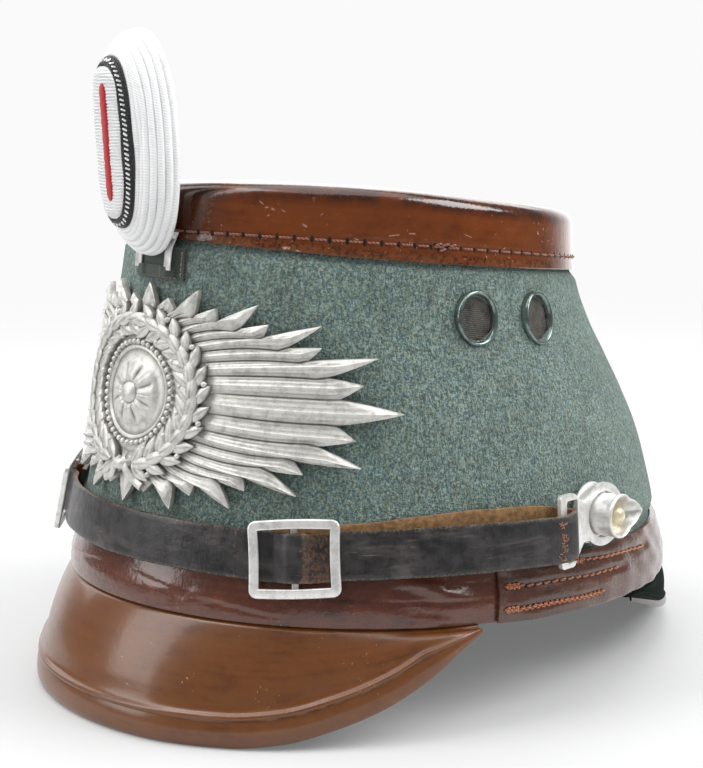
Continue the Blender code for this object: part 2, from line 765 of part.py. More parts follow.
def cockade_frame():
    frame = (np.array(COCKADE_AT), np.array([1.0, 0, 0]), np.array([0, 0, 1.0]), np.array([0, -1.0, 0]))
    p, across, up, outward = frame
    a = math.radians(COCKADE_LEAN)
    return (p, across, up * math.cos(a) + outward * math.sin(a), outward * math.cos(a) - up * math.sin(a))


def oval(wide, high, steps=48):
    """Straight-sided oval: wide and high are full sizes."""
    t = np.linspace(0, 2 * np.pi, steps, endpoint=False)
    power = 2 / 2.25
    return np.stack(
        [
            wide / 2 * np.sign(np.cos(t)) * np.abs(np.cos(t)) ** power,
            high / 2 * np.sign(np.sin(t)) * np.abs(np.sin(t)) ** power,
        ],
        -1,
    )


def domed(frame, rows, steps=24):
    """Rows of width, height, depth and shift, closed with flat ends."""
    rings = []
    for wide, high, deep, shift in rows:
        flat = oval(wide, high, steps)
        rings.append(np.stack([flat[:, 0], flat[:, 1] + shift, np.full(steps, deep)], -1))
    return sweep(local(frame, np.array(rings)), False)


def cockade():
    frame = cockade_frame()
    # full width, full height, distance forward, shift up
    rows = ((28.6, 61.4, -0.6, 0.0), (31.4, 63.8, 0.6, 0.0), (31.0, 63.4, 2.0, 0.0), (28.6, 60.8, 4.2, 0.2),
            (25.4, 57.4, 6.2, 0.3), (21.6, 53.6, 7.8, 0.5), (18.0, 50.0, 8.8, 0.6), (12.4, 43.4, 9.2, 0.6))
    place("cockade_body", *domed(frame, rows), "silver thread")

    def tube(name, wide, high, deep, size, look):
        path = oval(wide, high, 30)
        stations = []
        for i, (x, y) in enumerate(path):
            before, after = path[i - 1], path[(i + 1) % len(path)]
            along = (after - before) / np.linalg.norm(after - before)
            nx, ny = along[1], -along[0]
            loop = []
            for a in np.arange(0, 360, 72):
                c, s = size * math.cos(math.radians(a)), size * math.sin(math.radians(a))
                loop.append((x + nx * c, y + ny * c + 0.6, deep + s))
            stations.append(loop)
        place(name, *sweep(local(frame, np.array(stations)), True), look)

    tube("cockade_ring", 13.5, 45.0, 10.75, 1.4, "black cord")
    centre = ((9.6, 39.6, 9.4, 0.6), (9.8, 40.0, 11.2, 0.6), (12.4, 42.2, 12.3, 0.6), (13.0, 42.8, 12.8, 0.6),
              (12.4, 42.2, 13.2, 0.6), (10.0, 40.2, 13.5, 0.6))
    place("cockade_centre", *domed(frame, centre), "silver thread")
    bar = ((2.3, 33.0, 13.7, 0.6), (2.7, 33.4, 13.9, 0.6), (2.5, 33.2, 14.15, 0.6), (1.5, 32.4, 14.35, 0.6))
    place("cockade_bar", *domed(frame, bar, 16), "red thread")
    # prong: a flat strip from behind the cockade down into the cloth pocket
    stations = []
    for y, z in ((-86.3, 176.0), (-85.4, 150.0), (-85.2, 142.5), (-84.5, 137.5)):
        stations.append([(-5.2, y, z), (5.2, y, z), (5.2, y - 0.55, z + 0.1), (-5.2, y - 0.55, z + 0.1)])
    for high in (103.4, 97.2):
        y = float(crown(0, high, 0.45)[1])
        z = float(crown(0, high, 0.45)[2])
        stations.append([(-5.2, y, z), (5.2, y, z), (5.2, y - 0.55, z), (-5.2, y - 0.55, z)])
    place("cockade_prong", *sweep(np.array(stations), False), "metal", flat=True)
    # pocket: a cloth strip sewn on the front under the lid
    stations = []
    for angle in np.arange(-9.5, 9.6, 2.375):
        low = float(np.interp(abs(angle), (5.6, 8.2), (1.5, 0.35)))
        rows = ((92.2, 0.35), (92.2, 1.25), (93.6, low + 0.95), (101.6, low + 0.95), (101.6, low), (93.6, low))
        stations.append([crown(angle, h, o) for h, o in rows])
    place("cockade_pocket", *sweep(stations, False), "green cloth")


body = felt_body()
vents(body)
lid()
bands()
peaks()
strap()
buckles()
fittings()
badge()
cockade()
for side, word in ((1, "a"), (-1, "b")):
    angle = arc_angle(24.0 * side, BADGE_MID)
    hole = frame_at(angle, BADGE_MID, 0.0)
    cut(body, f"cut_pin_{word}", *turned(hole, [(0, -9), (1.6, -9), (1.6, 3), (0, 3)], 12))
    post = post_frame(side)
    cut(body, f"cut_post_{word}", *turned(post, [(0, -9), (2.4, -9), (2.4, 3), (0, 3)], 16))
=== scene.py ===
"""Looks of a leather and felt shako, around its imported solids.

Lengths in the tables are in millimetres, angles in degrees from the front (0)
towards the wearer's left (90).  Everything is made by formula.
"""

import math

import bpy
import numpy as np
from mathutils import Matrix, Vector


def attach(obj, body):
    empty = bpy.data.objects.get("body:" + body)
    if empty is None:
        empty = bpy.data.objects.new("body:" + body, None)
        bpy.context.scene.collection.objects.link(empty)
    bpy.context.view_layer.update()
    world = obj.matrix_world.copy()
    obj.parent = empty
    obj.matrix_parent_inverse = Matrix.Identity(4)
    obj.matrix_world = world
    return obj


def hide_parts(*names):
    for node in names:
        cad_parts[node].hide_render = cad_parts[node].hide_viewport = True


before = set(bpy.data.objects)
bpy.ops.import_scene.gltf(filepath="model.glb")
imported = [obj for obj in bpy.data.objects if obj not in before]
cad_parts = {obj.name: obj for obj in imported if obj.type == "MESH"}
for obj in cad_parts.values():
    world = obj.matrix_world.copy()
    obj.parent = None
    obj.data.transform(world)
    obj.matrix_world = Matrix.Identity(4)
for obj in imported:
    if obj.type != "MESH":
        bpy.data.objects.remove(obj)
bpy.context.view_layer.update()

MM = 0.001

# ------------------------------------------------------------- camera, first
CAMERA_AT = (0.40934, -0.38171, 0.1887)
CAMERA_ALONG = (-0.7401, 0.6724)  # horizontal heading
CAMERA_DOWN = 10.62
CAMERA_FOCAL = 1757.9  # in pixels of the 768 high frame

heading = Vector((CAMERA_ALONG[0], CAMERA_ALONG[1], 0)).normalized()
pitch = math.radians(CAMERA_DOWN)
look = heading * math.cos(pitch) + Vector((0, 0, -math.sin(pitch)))
side_on = heading.cross(Vector((0, 0, 1))).normalized()
upward = side_on.cross(look)
camera_data = bpy.data.cameras.new("camera")
camera_data.sensor_width = 36.0
camera_data.lens = 36.0 * CAMERA_FOCAL / 768
camera_data.clip_start, camera_data.clip_end = 0.02, 60
camera = bpy.data.objects.new("camera", camera_data)
camera.matrix_world = Matrix(
    (
        (side_on.x, upward.x, -look.x, CAMERA_AT[0]),
        (side_on.y, upward.y, -look.y, CAMERA_AT[1]),
        (side_on.z, upward.z, -look.z, CAMERA_AT[2]),
        (0, 0, 0, 1),
    )
)
bpy.context.scene.collection.objects.link(camera)
bpy.context.scene.camera = camera

# ---------------------------------------------------------------- crown form
BASE_Z, BASE_SLOPE = 27.8, -0.064
TOP_Z, TOP_SLOPE = 145.5, -0.093
BASE_RATIO, TOP_RATIO = 0.833, 0.882

# share of the height, front y, rear y
CROWN = (
    (0.00, -103.6, 104.7),
    (0.04, -102.8, 104.5),
    (0.08, -101.2, 103.5),
    (0.12, -99.6, 102.1),
    (0.17, -97.9, 100.4),
    (0.22, -96.4, 98.9),
    (0.30, -94.2, 96.2),
    (0.40, -91.8, 92.0),
    (0.50, -89.7, 85.9),
    (0.60, -87.7, 78.5),
    (0.70, -85.8, 71.4),
    (0.80, -83.8, 66.4),
    (0.90, -82.5, 64.7),
    (1.00, -81.9, 64.1),
)
# angle, lower edge of the lid band, rim
LID_EDGE = (
    (0, 104.0, 119.6),
    (20, 103.6, 120.9),
    (42, 102.6, 121.5),
    (60, 101.5, 121.1),
    (87, 99.9, 119.0),
    (113, 98.2, 116.8),
    (140, 96.4, 114.8),
    (180, 95.0, 113.4),
)
# angle, offset of the rim, height of the rim
FRONT_PEAK = (
    (0, 12.6, 0.0),
    (14.3, 12.4, 0.0),
    (28.1, 10.6, 0.0),
    (36.9, 9.2, 1.4),
    (45.2, 7.9, 5.2),
    (53.1, 6.7, 10.2),
    (60.7, 4.7, 17.0),
    (66.1, 2.8, 23.8),
    (70.3, 1.2, 28.2),
)
NECK_PEAK = (
    (0, 9.5, 0.0),
    (14, 8.6, 0.0),
    (24, 6.6, 0.8),
    (33, 4.2, 3.4),
    (41, 2.2, 6.6),
    (49, 1.1, 9.8),
    (57, 0.6, 13.4),
    (65, 0.3, 18.4),
    (73, 0.2, 23.4),
)
# angle, inner offset of the outer layer, middle height
STRAP_OUTER = (
    (0, 2.6, 19.9),
    (15, 2.8, 20.0),
    (29, 3.0, 19.7),
    (46, 3.4, 20.9),
    (59, 4.6, 22.3),
    (70, 5.9, 23.2),
    (80, 7.0, 23.7),
    (85, 7.4, 23.9),
)
STRAP_INNER = (
    (85, 2.1, 25.4),
    (80, 1.8, 26.2),
    (70, 1.2, 26.1),
    (59, 0.7, 24.6),
    (50, 0.6, 22.7),
    (42, 0.6, 21.4),
    (34, 0.6, 20.6),
)
STRAP_LEAN = ((0, 12.0), (60, 12.0), (75, 8.0), (85, 5.0))
STRAP_WIDE, STRAP_THICK = 13.8, 1.7
BUCKLE_ANGLE, BUCKLE_HIGH, BUCKLE_WIDE = 38.0, 21.2, 25.6
POST_ANGLE, POST_HIGH = 95.0, 28.2
POST_AIM, PLATE_AIM = 98.0, 92.0
BADGE_MID, BADGE_OUT = 59.6, 1.3
BADGE_WIDE, BADGE_HIGH = 81.0, 31.8
RAYS = 40


def smooth(x, table, column):
    """Piecewise cubic through a table's column."""
    rows = np.array(table, float)
    xs, ys = rows[:, 0], rows[:, column]
    if xs[0] > xs[-1]:
        xs, ys = xs[::-1], ys[::-1]
    x = np.clip(np.asarray(x, float), xs[0], xs[-1])
    step = np.diff(ys) / np.diff(xs)
    slope = np.empty_like(ys)
    slope[1:-1] = np.where(
        step[:-1] * step[1:] > 0, 2 * step[:-1] * step[1:] / (step[:-1] + step[1:] + 1e-12), 0
    )
    slope[0], slope[-1] = step[0], step[-1]
    i = np.clip(np.searchsorted(xs, x, side="right") - 1, 0, len(xs) - 2)
    w = xs[i + 1] - xs[i]
    u = (x - xs[i]) / w
    return (
        ys[i] * (1 + 2 * u) * (1 - u) ** 2
        + slope[i] * w * u * (1 - u) ** 2
        + ys[i + 1] * u * u * (3 - 2 * u)
        + slope[i + 1] * w * u * u * (u - 1)
    )


def fold(angle):
    return np.abs((np.asarray(angle, float) + 180) % 360 - 180)


def crown(angle, high, out=0.0):
    """Point `high` over the base plane and `out` off the crown's surface."""
    angle, high, out = np.broadcast_arrays(
        np.asarray(angle, float), np.asarray(high, float), np.asarray(out, float)
    )
    t = np.radians(angle)
    y = -90 * np.cos(t)
    for _ in range(6):
        share = np.clip(high / (TOP_Z - BASE_Z + (TOP_SLOPE - BASE_SLOPE) * y), 0, 1)
        front, rear = smooth(share, CROWN, 1), smooth(share, CROWN, 2)
        long, mid = (rear - front) / 2, (rear + front) / 2
        wide = long * (BASE_RATIO + (TOP_RATIO - BASE_RATIO) * share)
        nx, ny = np.sin(t) / wide, -np.cos(t) / long
        n = np.hypot(nx, ny)
        x = wide * np.sin(t) + out * nx / n
        y = mid - long * np.cos(t) + out * ny / n
    return np.stack([x, y, BASE_Z + BASE_SLOPE * y + high], -1)


def crown_normal(angle, high, out=0.0):
    """Unit normal of the crown's wall."""
    a = crown(np.asarray(angle) + 0.25, high, out) - crown(np.asarray(angle) - 0.25, high, out)
    b = crown(angle, np.asarray(high) + 0.5, out) - crown(angle, np.asarray(high) - 0.5, out)
    n = np.cross(a, b)
    return n / np.linalg.norm(n, axis=-1, keepdims=True)


def base_z(angle, out=0.0):
    return crown(angle, 0.0, out)[..., 2]


def ease(x, low, high):
    u = np.clip((np.asarray(x, float) - low) / (high - low), 0, 1)
    return u * u * (3 - 2 * u)


def ripple(a, b, seed, waves=6, low=1.0, high=6.0):
    """Smooth pseudo-random field of two coordinates, about -1 to 1."""
    rng = np.random.default_rng(seed)
    total = 0.0
    for _ in range(waves):
        fa, fb = rng.uniform(low, high, 2)
        pa, pb = rng.uniform(0, 2 * np.pi, 2)
        sign = rng.choice([-1, 1])
        total = total + np.sin(fa * a + pa + sign * 0.6 * fb * b) * np.cos(fb * b + pb)
    return total / math.sqrt(waves)


def spline(points, count, closed=False):
    """Catmull-Rom through points, resampled evenly to `count` points."""
    points = np.asarray(points, float)
    if closed:
        points = np.concatenate([points, points[:1]])
    gap = np.linalg.norm(np.diff(points[:, :3], axis=0), axis=1)
    t = np.concatenate([[0], np.cumsum(np.maximum(gap, 1e-6))])
    slope = np.zeros_like(points)
    slope[1:-1] = (points[2:] - points[:-2]) / (t[2:] - t[:-2])[:, None]
    if closed:
        slope[0] = slope[-1] = (points[1] - points[-2]) / (t[1] + t[-1] - t[-2])
    else:
        slope[0] = (points[1] - points[0]) / t[1]
        slope[-1] = (points[-1] - points[-2]) / (t[-1] - t[-2])
    at = np.linspace(0, t[-1], count, endpoint=not closed)
    i = np.clip(np.searchsorted(t, at, side="right") - 1, 0, len(t) - 2)
    w = (t[i + 1] - t[i])[:, None]
    u = ((at - t[i])[:, None]) / w
    return (
        points[i] * (1 + 2 * u) * (1 - u) ** 2
        + slope[i] * w * u * (1 - u) ** 2
        + points[i + 1] * u * u * (3 - 2 * u)
        + slope[i + 1] * w * u * u * (u - 1)
    )


# -------------------------------------------------------------- mesh builder
class Build:
    """Collects closed shapes of one piece, with a path coordinate for looks."""

    def __init__(self):
        self.points, self.quads, self.coords, self.slots, self.tones = [], [], [], [], []
        self.fans = []
        self.count = 0

    def add(self, points, quads, coords=None, slots=0, tone=0.0, fans=()):
        points = np.asarray(points, float).reshape(-1, 3)
        quads = np.asarray(quads, int).reshape(-1, 4)
        if coords is None:
            coords = np.zeros((len(quads), 4, 3))
        slots = np.broadcast_to(np.asarray(slots, int), (len(quads),)).copy()
        tone = np.broadcast_to(np.asarray(tone, float), (len(points),)).copy()
        middle = points.mean(0)
        local = points - middle
        a, b, c, d = (local[quads[:, k]] for k in range(4))
        volume = np.einsum("ij,ij->i", a, np.cross(b, c)).sum()
        volume += np.einsum("ij,ij->i", a, np.cross(c, d)).sum()
        fans = [tuple(f) for f, _ in fans], [s for _, s in fans]
        for f in fans[0]:
            for k in range(1, len(f) - 1):
                volume += np.dot(local[f[0]], np.cross(local[f[k]], local[f[k + 1]]))
        if volume < 0:
            quads, coords = quads[:, ::-1], np.asarray(coords)[:, ::-1]
            fans = [tuple(reversed(f)) for f in fans[0]], fans[1]
        self.points.append(points)
        self.quads.append(quads + self.count)
        self.coords.append(np.asarray(coords, float))
        self.slots.append(slots)
        self.tones.append(tone)
        for f, s in zip(*fans):
            self.fans.append(([k + self.count for k in f], s))
        self.count += len(points)

    def make(self, name, looks, sharp=38.0):
        points = np.concatenate(self.points)
        quads = np.concatenate(self.quads)
        coords = np.concatenate(self.coords)
        slots = np.concatenate(self.slots)
        loops = [quads.reshape(-1)]
        starts = [np.arange(len(quads)) * 4]
        at = len(quads) * 4
        corner = [coords.reshape(-1, 3)]
        slot = list(slots)
        for f, s in self.fans:
            loops.append(np.array(f))
            starts.append(np.array([at]))
            corner.append(np.zeros((len(f), 3)))
            slot.append(s)
            at += len(f)
        loops, starts = np.concatenate(loops), np.concatenate(starts)
        corner = np.concatenate(corner)
        mesh = bpy.data.meshes.new(name)
        mesh.vertices.add(len(points))
        mesh.vertices.foreach_set("co", (points * MM).astype(np.float32).ravel())
        mesh.loops.add(len(loops))
        mesh.loops.foreach_set("vertex_index", loops.astype(np.int32))
        mesh.polygons.add(len(starts))
        mesh.polygons.foreach_set("loop_start", starts.astype(np.int32))
        mesh.update(calc_edges=True)
        mesh.validate()
        made = mesh.attributes.new("path", "FLOAT_VECTOR", "CORNER")
        if len(made.data) == len(corner):
            made.data.foreach_set("vector", corner.astype(np.float32).ravel())
        made = mesh.attributes.new("tone", "FLOAT", "POINT")
        made.data.foreach_set("value", np.concatenate(self.tones).astype(np.float32))
        for one in looks if isinstance(looks, (list, tuple)) else [looks]:
            mesh.materials.append(one)
        if len(mesh.polygons) == len(slot):
            mesh.polygons.foreach_set("material_index", np.array(slot, np.int32))
        mesh.polygons.foreach_set("use_smooth", np.ones(len(mesh.polygons), bool))
        mesh.set_sharp_from_angle(angle=math.radians(sharp))
        thing = bpy.data.objects.new(name, mesh)
        bpy.context.scene.collection.objects.link(thing)
        return thing


def lengths(points):
    return np.concatenate([[0], np.cumsum(np.linalg.norm(np.diff(points, axis=0), axis=1))])


def sheet_quads(n, m, wrap_n, wrap_m):
    """Quads of an n by m grid of points, and each corner's own grid place."""
    ni, mi = n if wrap_n else n - 1, m if wrap_m else m - 1
    i, j = np.meshgrid(np.arange(ni), np.arange(mi), indexing="ij")
    i, j = i.ravel(), j.ravel()
    corners = [(i, j), (i + 1, j), (i + 1, j + 1), (i, j + 1)]
    quads = np.stack([(a % n) * m + (b % m) for a, b in corners], -1)
    place = np.stack([np.stack([a, b], -1) for a, b in corners], 1)
    return quads, place


def sweep(build, stations, closed, slots=0, tone=0.0, along=None, around=None, third=None):
    """Closed cross-sections carried through stations; capped unless closed."""
    stations = np.asarray(stations, float)
    n, m = stations.shape[:2]
    quads, place = sheet_quads(n, m, closed, True)
    if along is None:
        ring = stations.mean(1)
        along = lengths(np.concatenate([ring, ring[:1]]) if closed else ring)
    if around is None:
        loop = stations[n // 2]
        around = lengths(np.concatenate([loop, loop[:1]]))
    u = np.asarray(along)[place[..., 0]]
    v = np.asarray(around)[place[..., 1]]
    w = np.zeros_like(u) if third is None else np.asarray(third)[place[..., 1] % m]
    fans = []
    if not closed:
        fans = [(range(m - 1, -1, -1), 0), ([(n - 1) * m + j for j in range(m)], 0)]
        if np.ndim(slots) > 0:
            fans = [(f, int(slots[0])) for f, _ in fans]
    if np.ndim(slots) > 0:
        slots = np.asarray(slots)[quads[:, 0] % m]
    tones = tone
    if np.ndim(tone) == 2:
        tones = np.asarray(tone).reshape(-1)
    build.add(stations.reshape(-1, 3), quads, np.stack([u, v, w], -1), slots, tones, fans)


def tube(build, path, radius, sides=8, closed=False, slots=0, up=None, flat=1.0, tone=0.0):
    """Round or oval tube along points; radius may vary along it."""
    path = np.asarray(path, float)
    n = len(path)
    if closed:
        tangent = np.roll(path, -1, 0) - np.roll(path, 1, 0)
    else:
        tangent = np.gradient(path, axis=0)
    tangent /= np.linalg.norm(tangent, axis=1, keepdims=True)
    if up is None:
        up = np.array([0.0, 0.0, 1.0])
        if abs(tangent[0] @ up) > 0.9:
            up = np.array([1.0, 0.0, 0.0])
    up = np.broadcast_to(np.asarray(up, float), path.shape)
    across = np.cross(tangent, up)
    across /= np.linalg.norm(across, axis=1, keepdims=True)
    out = np.cross(across, tangent)
    turn = np.linspace(0, 2 * np.pi, sides, endpoint=False)
    radius = np.broadcast_to(np.asarray(radius, float), (n,))
    ring = (
        across[:, None] * np.cos(turn)[None, :, None]
        + out[:, None] * np.sin(turn)[None, :, None] * flat
    )
    stations = path[:, None] + ring * radius[:, None, None]
    around = np.linspace(0, 2 * np.pi, sides + 1)
    sweep(build, stations, closed, slots, tone, around=around)


def lathe(build, at, profile, steps=64, slots=0, ends=True, tone=0.0):
    """Profile of (radius, out) turned round a frame's outward axis."""
    profile = np.array(profile, float)
    turn = np.linspace(0, 2 * np.pi, steps, endpoint=False)
    if ends:
        profile = profile.copy()
        profile[0, 0] = profile[-1, 0] = 0.01
    stations = np.stack(
        [
            profile[:, 0][:, None] * np.cos(turn),
            profile[:, 0][:, None] * np.sin(turn),
            np.repeat(profile[:, 1][:, None], steps, 1),
        ],
        -1,
    )
    points = local(at, stations)
    if ends:
        sweep(build, points, False, slots, tone, around=np.linspace(0, 2 * np.pi, steps + 1))
    else:
        sweep(build, points, True, slots, tone, around=np.linspace(0, 2 * np.pi, steps + 1))


def rounded(points, radius, steps=4):
    """Closed 2-D outline with each corner rounded off."""
    points = np.asarray(points, float)
    radius = np.broadcast_to(np.asarray(radius, float), (len(points),))
    out = []
    for i, p in enumerate(points):
        a, b = points[i - 1] - p, points[(i + 1) % len(points)] - p
        la, lb = np.linalg.norm(a), np.linalg.norm(b)
        r = min(radius[i], 0.48 * la, 0.48 * lb)
        if r < 1e-6:
            out.append(p)
            continue
        start, end = p + a / la * r, p + b / lb * r
        for k in range(steps + 1):
            t = k / steps
            out.append((1 - t) ** 2 * start + 2 * t * (1 - t) * p + t * t * end)
    return np.array(out)


def frame_at(angle, high, out=0.0, aim=None):
    p = crown(angle, high, out)
    if aim is None:
        q = crown(angle, high, out + 1.0)
        outward = (q - p) / np.linalg.norm(q - p)
        outward[2] = 0
    else:
        a = math.radians(aim)
        outward = np.array([math.sin(a), -math.cos(a), 0.0])
    outward /= np.linalg.norm(outward)
    up = np.array([0.0, 0.0, 1.0])
    return p, np.cross(up, outward), up, outward


def tilt_frame(at, lean):
    p, across, up, outward = at
    a = math.radians(lean)
    return (
        p,
        across,
        up * math.cos(a) - outward * math.sin(a),
        outward * math.cos(a) + up * math.sin(a),
    )


def local(at, xyz):
    p, across, up, outward = at
    xyz = np.asarray(xyz, float)
    return p + xyz[..., :1] * across + xyz[..., 1:2] * up + xyz[..., 2:3] * outward


def vent_frame(side, which):
    angle = (79.3, 97.9)[which] * side
    high = (85.5, 84.7)[which]
    at = frame_at(angle, high, 0.0)
    below, above = crown(angle, high - 7, 0.0), crown(angle, high + 7, 0.0)
    lean = math.degrees(
        math.atan2(float(np.dot(below - above, at[3])), float(above[2] - below[2]))
    )
    return tilt_frame(at, lean)


def post_frame(side):
    return tilt_frame(frame_at(POST_ANGLE * side, POST_HIGH, 0.0, POST_AIM * side), 3.0)


def plate_frame(side):
    return tilt_frame(frame_at(POST_ANGLE * side, POST_HIGH, 0.0, PLATE_AIM * side), 3.0)


def buckle_frame(side):
    return tilt_frame(frame_at(BUCKLE_ANGLE * side, 20.0, 6.2), 12.0)


# ------------------------------------------------------------------- looks
def srgb(r, g, b):
    out = []
    for c in (r, g, b):
        c = c / 255
        out.append(c / 12.92 if c <= 0.04045 else ((c + 0.055) / 1.055) ** 2.4)
    return (*out, 1.0)


class Look:
    """A procedural material whose coordinates are in millimetres."""

    def __init__(self, name, **sockets):
        self.material = bpy.data.materials.new(name)
        self.material.use_nodes = True
        self.tree = self.material.node_tree
        self.shader = self.tree.nodes["Principled BSDF"]
        for key, value in sockets.items():
            self.shader.inputs[key.replace("_", " ")].default_value = value
        where = self.tree.nodes.new("ShaderNodeTexCoord").outputs["Object"]
        self.at = self.vector("SCALE", where, scale=1000.0)
        self.height = None

    def put(self, value, socket):
        if isinstance(value, bpy.types.NodeSocket):
            self.tree.links.new(value, socket)
        else:
            socket.default_value = value

    def vector(self, operation, a, b=None, scale=None):
        made = self.tree.nodes.new("ShaderNodeVectorMath")
        made.operation = operation
        self.put(a, made.inputs[0])
        if b is not None:
            self.put(b, made.inputs[1])
        if scale is not None:
            self.put(scale, made.inputs["Scale"])
        return made.outputs["Value" if operation in ("LENGTH", "DOT_PRODUCT") else "Vector"]

    def math(self, operation, a, b=0.0, c=0.0, clamp=False):
        made = self.tree.nodes.new("ShaderNodeMath")
        made.operation = operation
        made.use_clamp = clamp
        for socket, value in zip(made.inputs, (a, b, c)):
            self.put(value, socket)
        return made.outputs[0]

    def add(self, *values):
        total = values[0]
        for value in values[1:]:
            total = self.math("ADD", total, value)
        return total

    def times(self, a, b):
        return self.math("MULTIPLY", a, b)

    def path(self):
        made = self.tree.nodes.new("ShaderNodeAttribute")
        made.attribute_name = "path"
        return made.outputs["Vector"]

    def tone(self):
        made = self.tree.nodes.new("ShaderNodeAttribute")
        made.attribute_name = "tone"
        return made.outputs["Fac"]

    def split(self, vector):
        made = self.tree.nodes.new("ShaderNodeSeparateXYZ")
        self.put(vector, made.inputs[0])
        return made.outputs[0], made.outputs[1], made.outputs[2]

    def join(self, x, y, z):
        made = self.tree.nodes.new("ShaderNodeCombineXYZ")
        for socket, value in zip(made.inputs, (x, y, z)):
            self.put(value, socket)
        return made.outputs[0]

    def turned(self, vector, degrees, stretch=(1, 1, 1)):
        made = self.tree.nodes.new("ShaderNodeMapping")
        self.put(vector, made.inputs["Vector"])
        made.inputs["Rotation"].default_value = [math.radians(d) for d in degrees]
        made.inputs["Scale"].default_value = stretch
        return made.outputs[0]

    def noise(self, scale, detail=3.0, rough=0.5, at=None, stretch=None, bend=0.0):
        at = self.at if at is None else at
        if stretch is not None:
            at = self.vector("MULTIPLY", at, stretch)
        made = self.tree.nodes.new("ShaderNodeTexNoise")
        self.put(at, made.inputs["Vector"])
        for key, value in (("Scale", scale), ("Detail", detail), ("Roughness", rough), ("Distortion", bend)):
            made.inputs[key].default_value = value
        return made.outputs[0]

    def cells(self, scale, at=None, feature="F1", stretch=None, output="Distance", jitter=1.0):
        at = self.at if at is None else at
        if stretch is not None:
            at = self.vector("MULTIPLY", at, stretch)
        made = self.tree.nodes.new("ShaderNodeTexVoronoi")
        made.feature = feature
        self.put(at, made.inputs["Vector"])
        made.inputs["Scale"].default_value = scale
        made.inputs["Randomness"].default_value = jitter
        return made.outputs[output]

    def span(self, value, low, high, to_low=0.0, to_high=1.0, kind="SMOOTHSTEP"):
        made = self.tree.nodes.new("ShaderNodeMapRange")
        made.interpolation_type = kind
        self.put(value, made.inputs["Value"])
        for key, number in (("From Min", low), ("From Max", high), ("To Min", to_low), ("To Max", to_high)):
            self.put(number, made.inputs[key])
        return made.outputs[0]

    def ramp(self, value, *stops):
        made = self.tree.nodes.new("ShaderNodeValToRGB")
        self.put(value, made.inputs[0])
        elements = made.color_ramp.elements
        while len(elements) < len(stops):
            elements.new(0.5)
        for element, (place, colour) in zip(elements, stops):
            element.position = place
            element.color = colour
        return made.outputs[0]

    def mix(self, share, a, b, blend="MIX"):
        made = self.tree.nodes.new("ShaderNodeMix")
        made.data_type = "RGBA"
        made.blend_type = blend
        self.put(share, made.inputs[0])
        self.put(a, made.inputs[6])
        self.put(b, made.inputs[7])
        return made.outputs[2]

    def wave(self, value):
        """0 to 1 and back once per unit of value."""
        return self.math("MULTIPLY_ADD", self.math("SINE", self.times(value, 2 * math.pi)), 0.5, 0.5)

    def colour(self, value):
        self.put(value, self.shader.inputs["Base Color"])
        return self

    def rough(self, value):
        self.put(value, self.shader.inputs["Roughness"])
        return self

    def bump(self, *heights, coat=False):
        """Heights in millimetres."""
        made = self.tree.nodes.new("ShaderNodeBump")
        made.inputs["Distance"].default_value = 0.001
        made.inputs["Strength"].default_value = 1.0
        self.put(self.add(*heights), made.inputs["Height"])
        self.put(made.outputs[0], self.shader.inputs["Normal"])
        if coat:
            self.put(made.outputs[0], self.shader.inputs["Coat Normal"])
        return self


def felt_look():
    m = Look("felt", Roughness=0.95, Sheen_Weight=0.30, Sheen_Roughness=0.55)
    m.shader.inputs["Specular IOR Level"].default_value = 0.12
    m.shader.inputs["Sheen Tint"].default_value = srgb(222, 235, 228)
    threads = [
        m.noise(1.55, 2.0, 0.62, m.turned(m.at, turn, stretch), bend=0.7)
        for turn, stretch in (
            ((0, 0, 20), (1, 1, 0.35)),
            ((50, 20, 60), (0.35, 1, 1)),
            ((20, 70, 10), (1, 0.4, 1)),
        )
    ]
    fine = m.span(m.add(*threads), 1.15, 1.85)
    grain = m.noise(3.0, 2.0, 0.7)
    mixed = m.add(m.times(fine, 0.60), m.times(grain, 0.40))
    cloud = m.noise(0.055, 4.0, 0.62)
    patch = m.noise(0.30, 4.0, 0.66)
    hue = m.noise(0.62, 3.0, 0.62, bend=0.8)
    dark = m.mix(m.span(hue, 0.38, 0.62), srgb(66, 79, 72), srgb(64, 83, 87))
    light = m.mix(m.span(patch, 0.38, 0.62), srgb(138, 149, 136), srgb(128, 147, 141))
    middle = m.mix(m.span(hue, 0.36, 0.64), srgb(101, 114, 101), srgb(87, 110, 112))
    low = m.mix(m.span(mixed, 0.24, 0.48), dark, middle)
    colour = m.mix(m.span(mixed, 0.50, 0.80), low, light)
    tan = m.noise(1.05, 1.0, 0.5, m.turned(m.at, (30, 10, 70), (1, 0.45, 1)), bend=0.8)
    colour = m.mix(m.times(m.span(tan, 0.66, 0.75), 0.42), colour, srgb(146, 144, 124))
    deep = m.noise(0.9, 1.0, 0.5, m.turned(m.at, (70, 40, 0), (0.5, 1, 1)), bend=0.8)
    colour = m.mix(m.times(m.span(deep, 0.62, 0.74), 0.42), colour, srgb(50, 61, 62))
    both = m.add(m.times(patch, 0.55), m.times(cloud, 0.45))
    shade = m.span(both, 0.34, 0.64, 0.80, 1.18)
    colour = m.mix(1.0, colour, m.join(shade, shade, shade), "MULTIPLY")
    x, y, z = m.split(m.at)
    # darker towards the band's top edge; a painted shade darkens the felt just under the lid's foot
    darkening = m.span(z, 52.0, 40.0, 0.0, 0.22)
    colour = m.mix(m.times(darkening, m.span(cloud, 0.3, 0.6, 0.4, 1.0)), colour, srgb(60, 62, 58))
    # painted shade under the lid's lower edge, mixed towards a dark grey-green
    painted_lid_shade = m.span(m.add(z, m.times(y, 0.142)), 119.0, 129.5, 0.0, 0.5)
    m.colour(m.mix(m.times(painted_lid_shade, m.span(patch, 0.3, 0.6, 0.5, 1.0)), colour, srgb(52, 60, 56)))
    m.bump(m.times(mixed, 0.60), m.times(m.noise(0.9, 2, 0.5), 0.30), m.times(hue, 0.25))
    return m.material


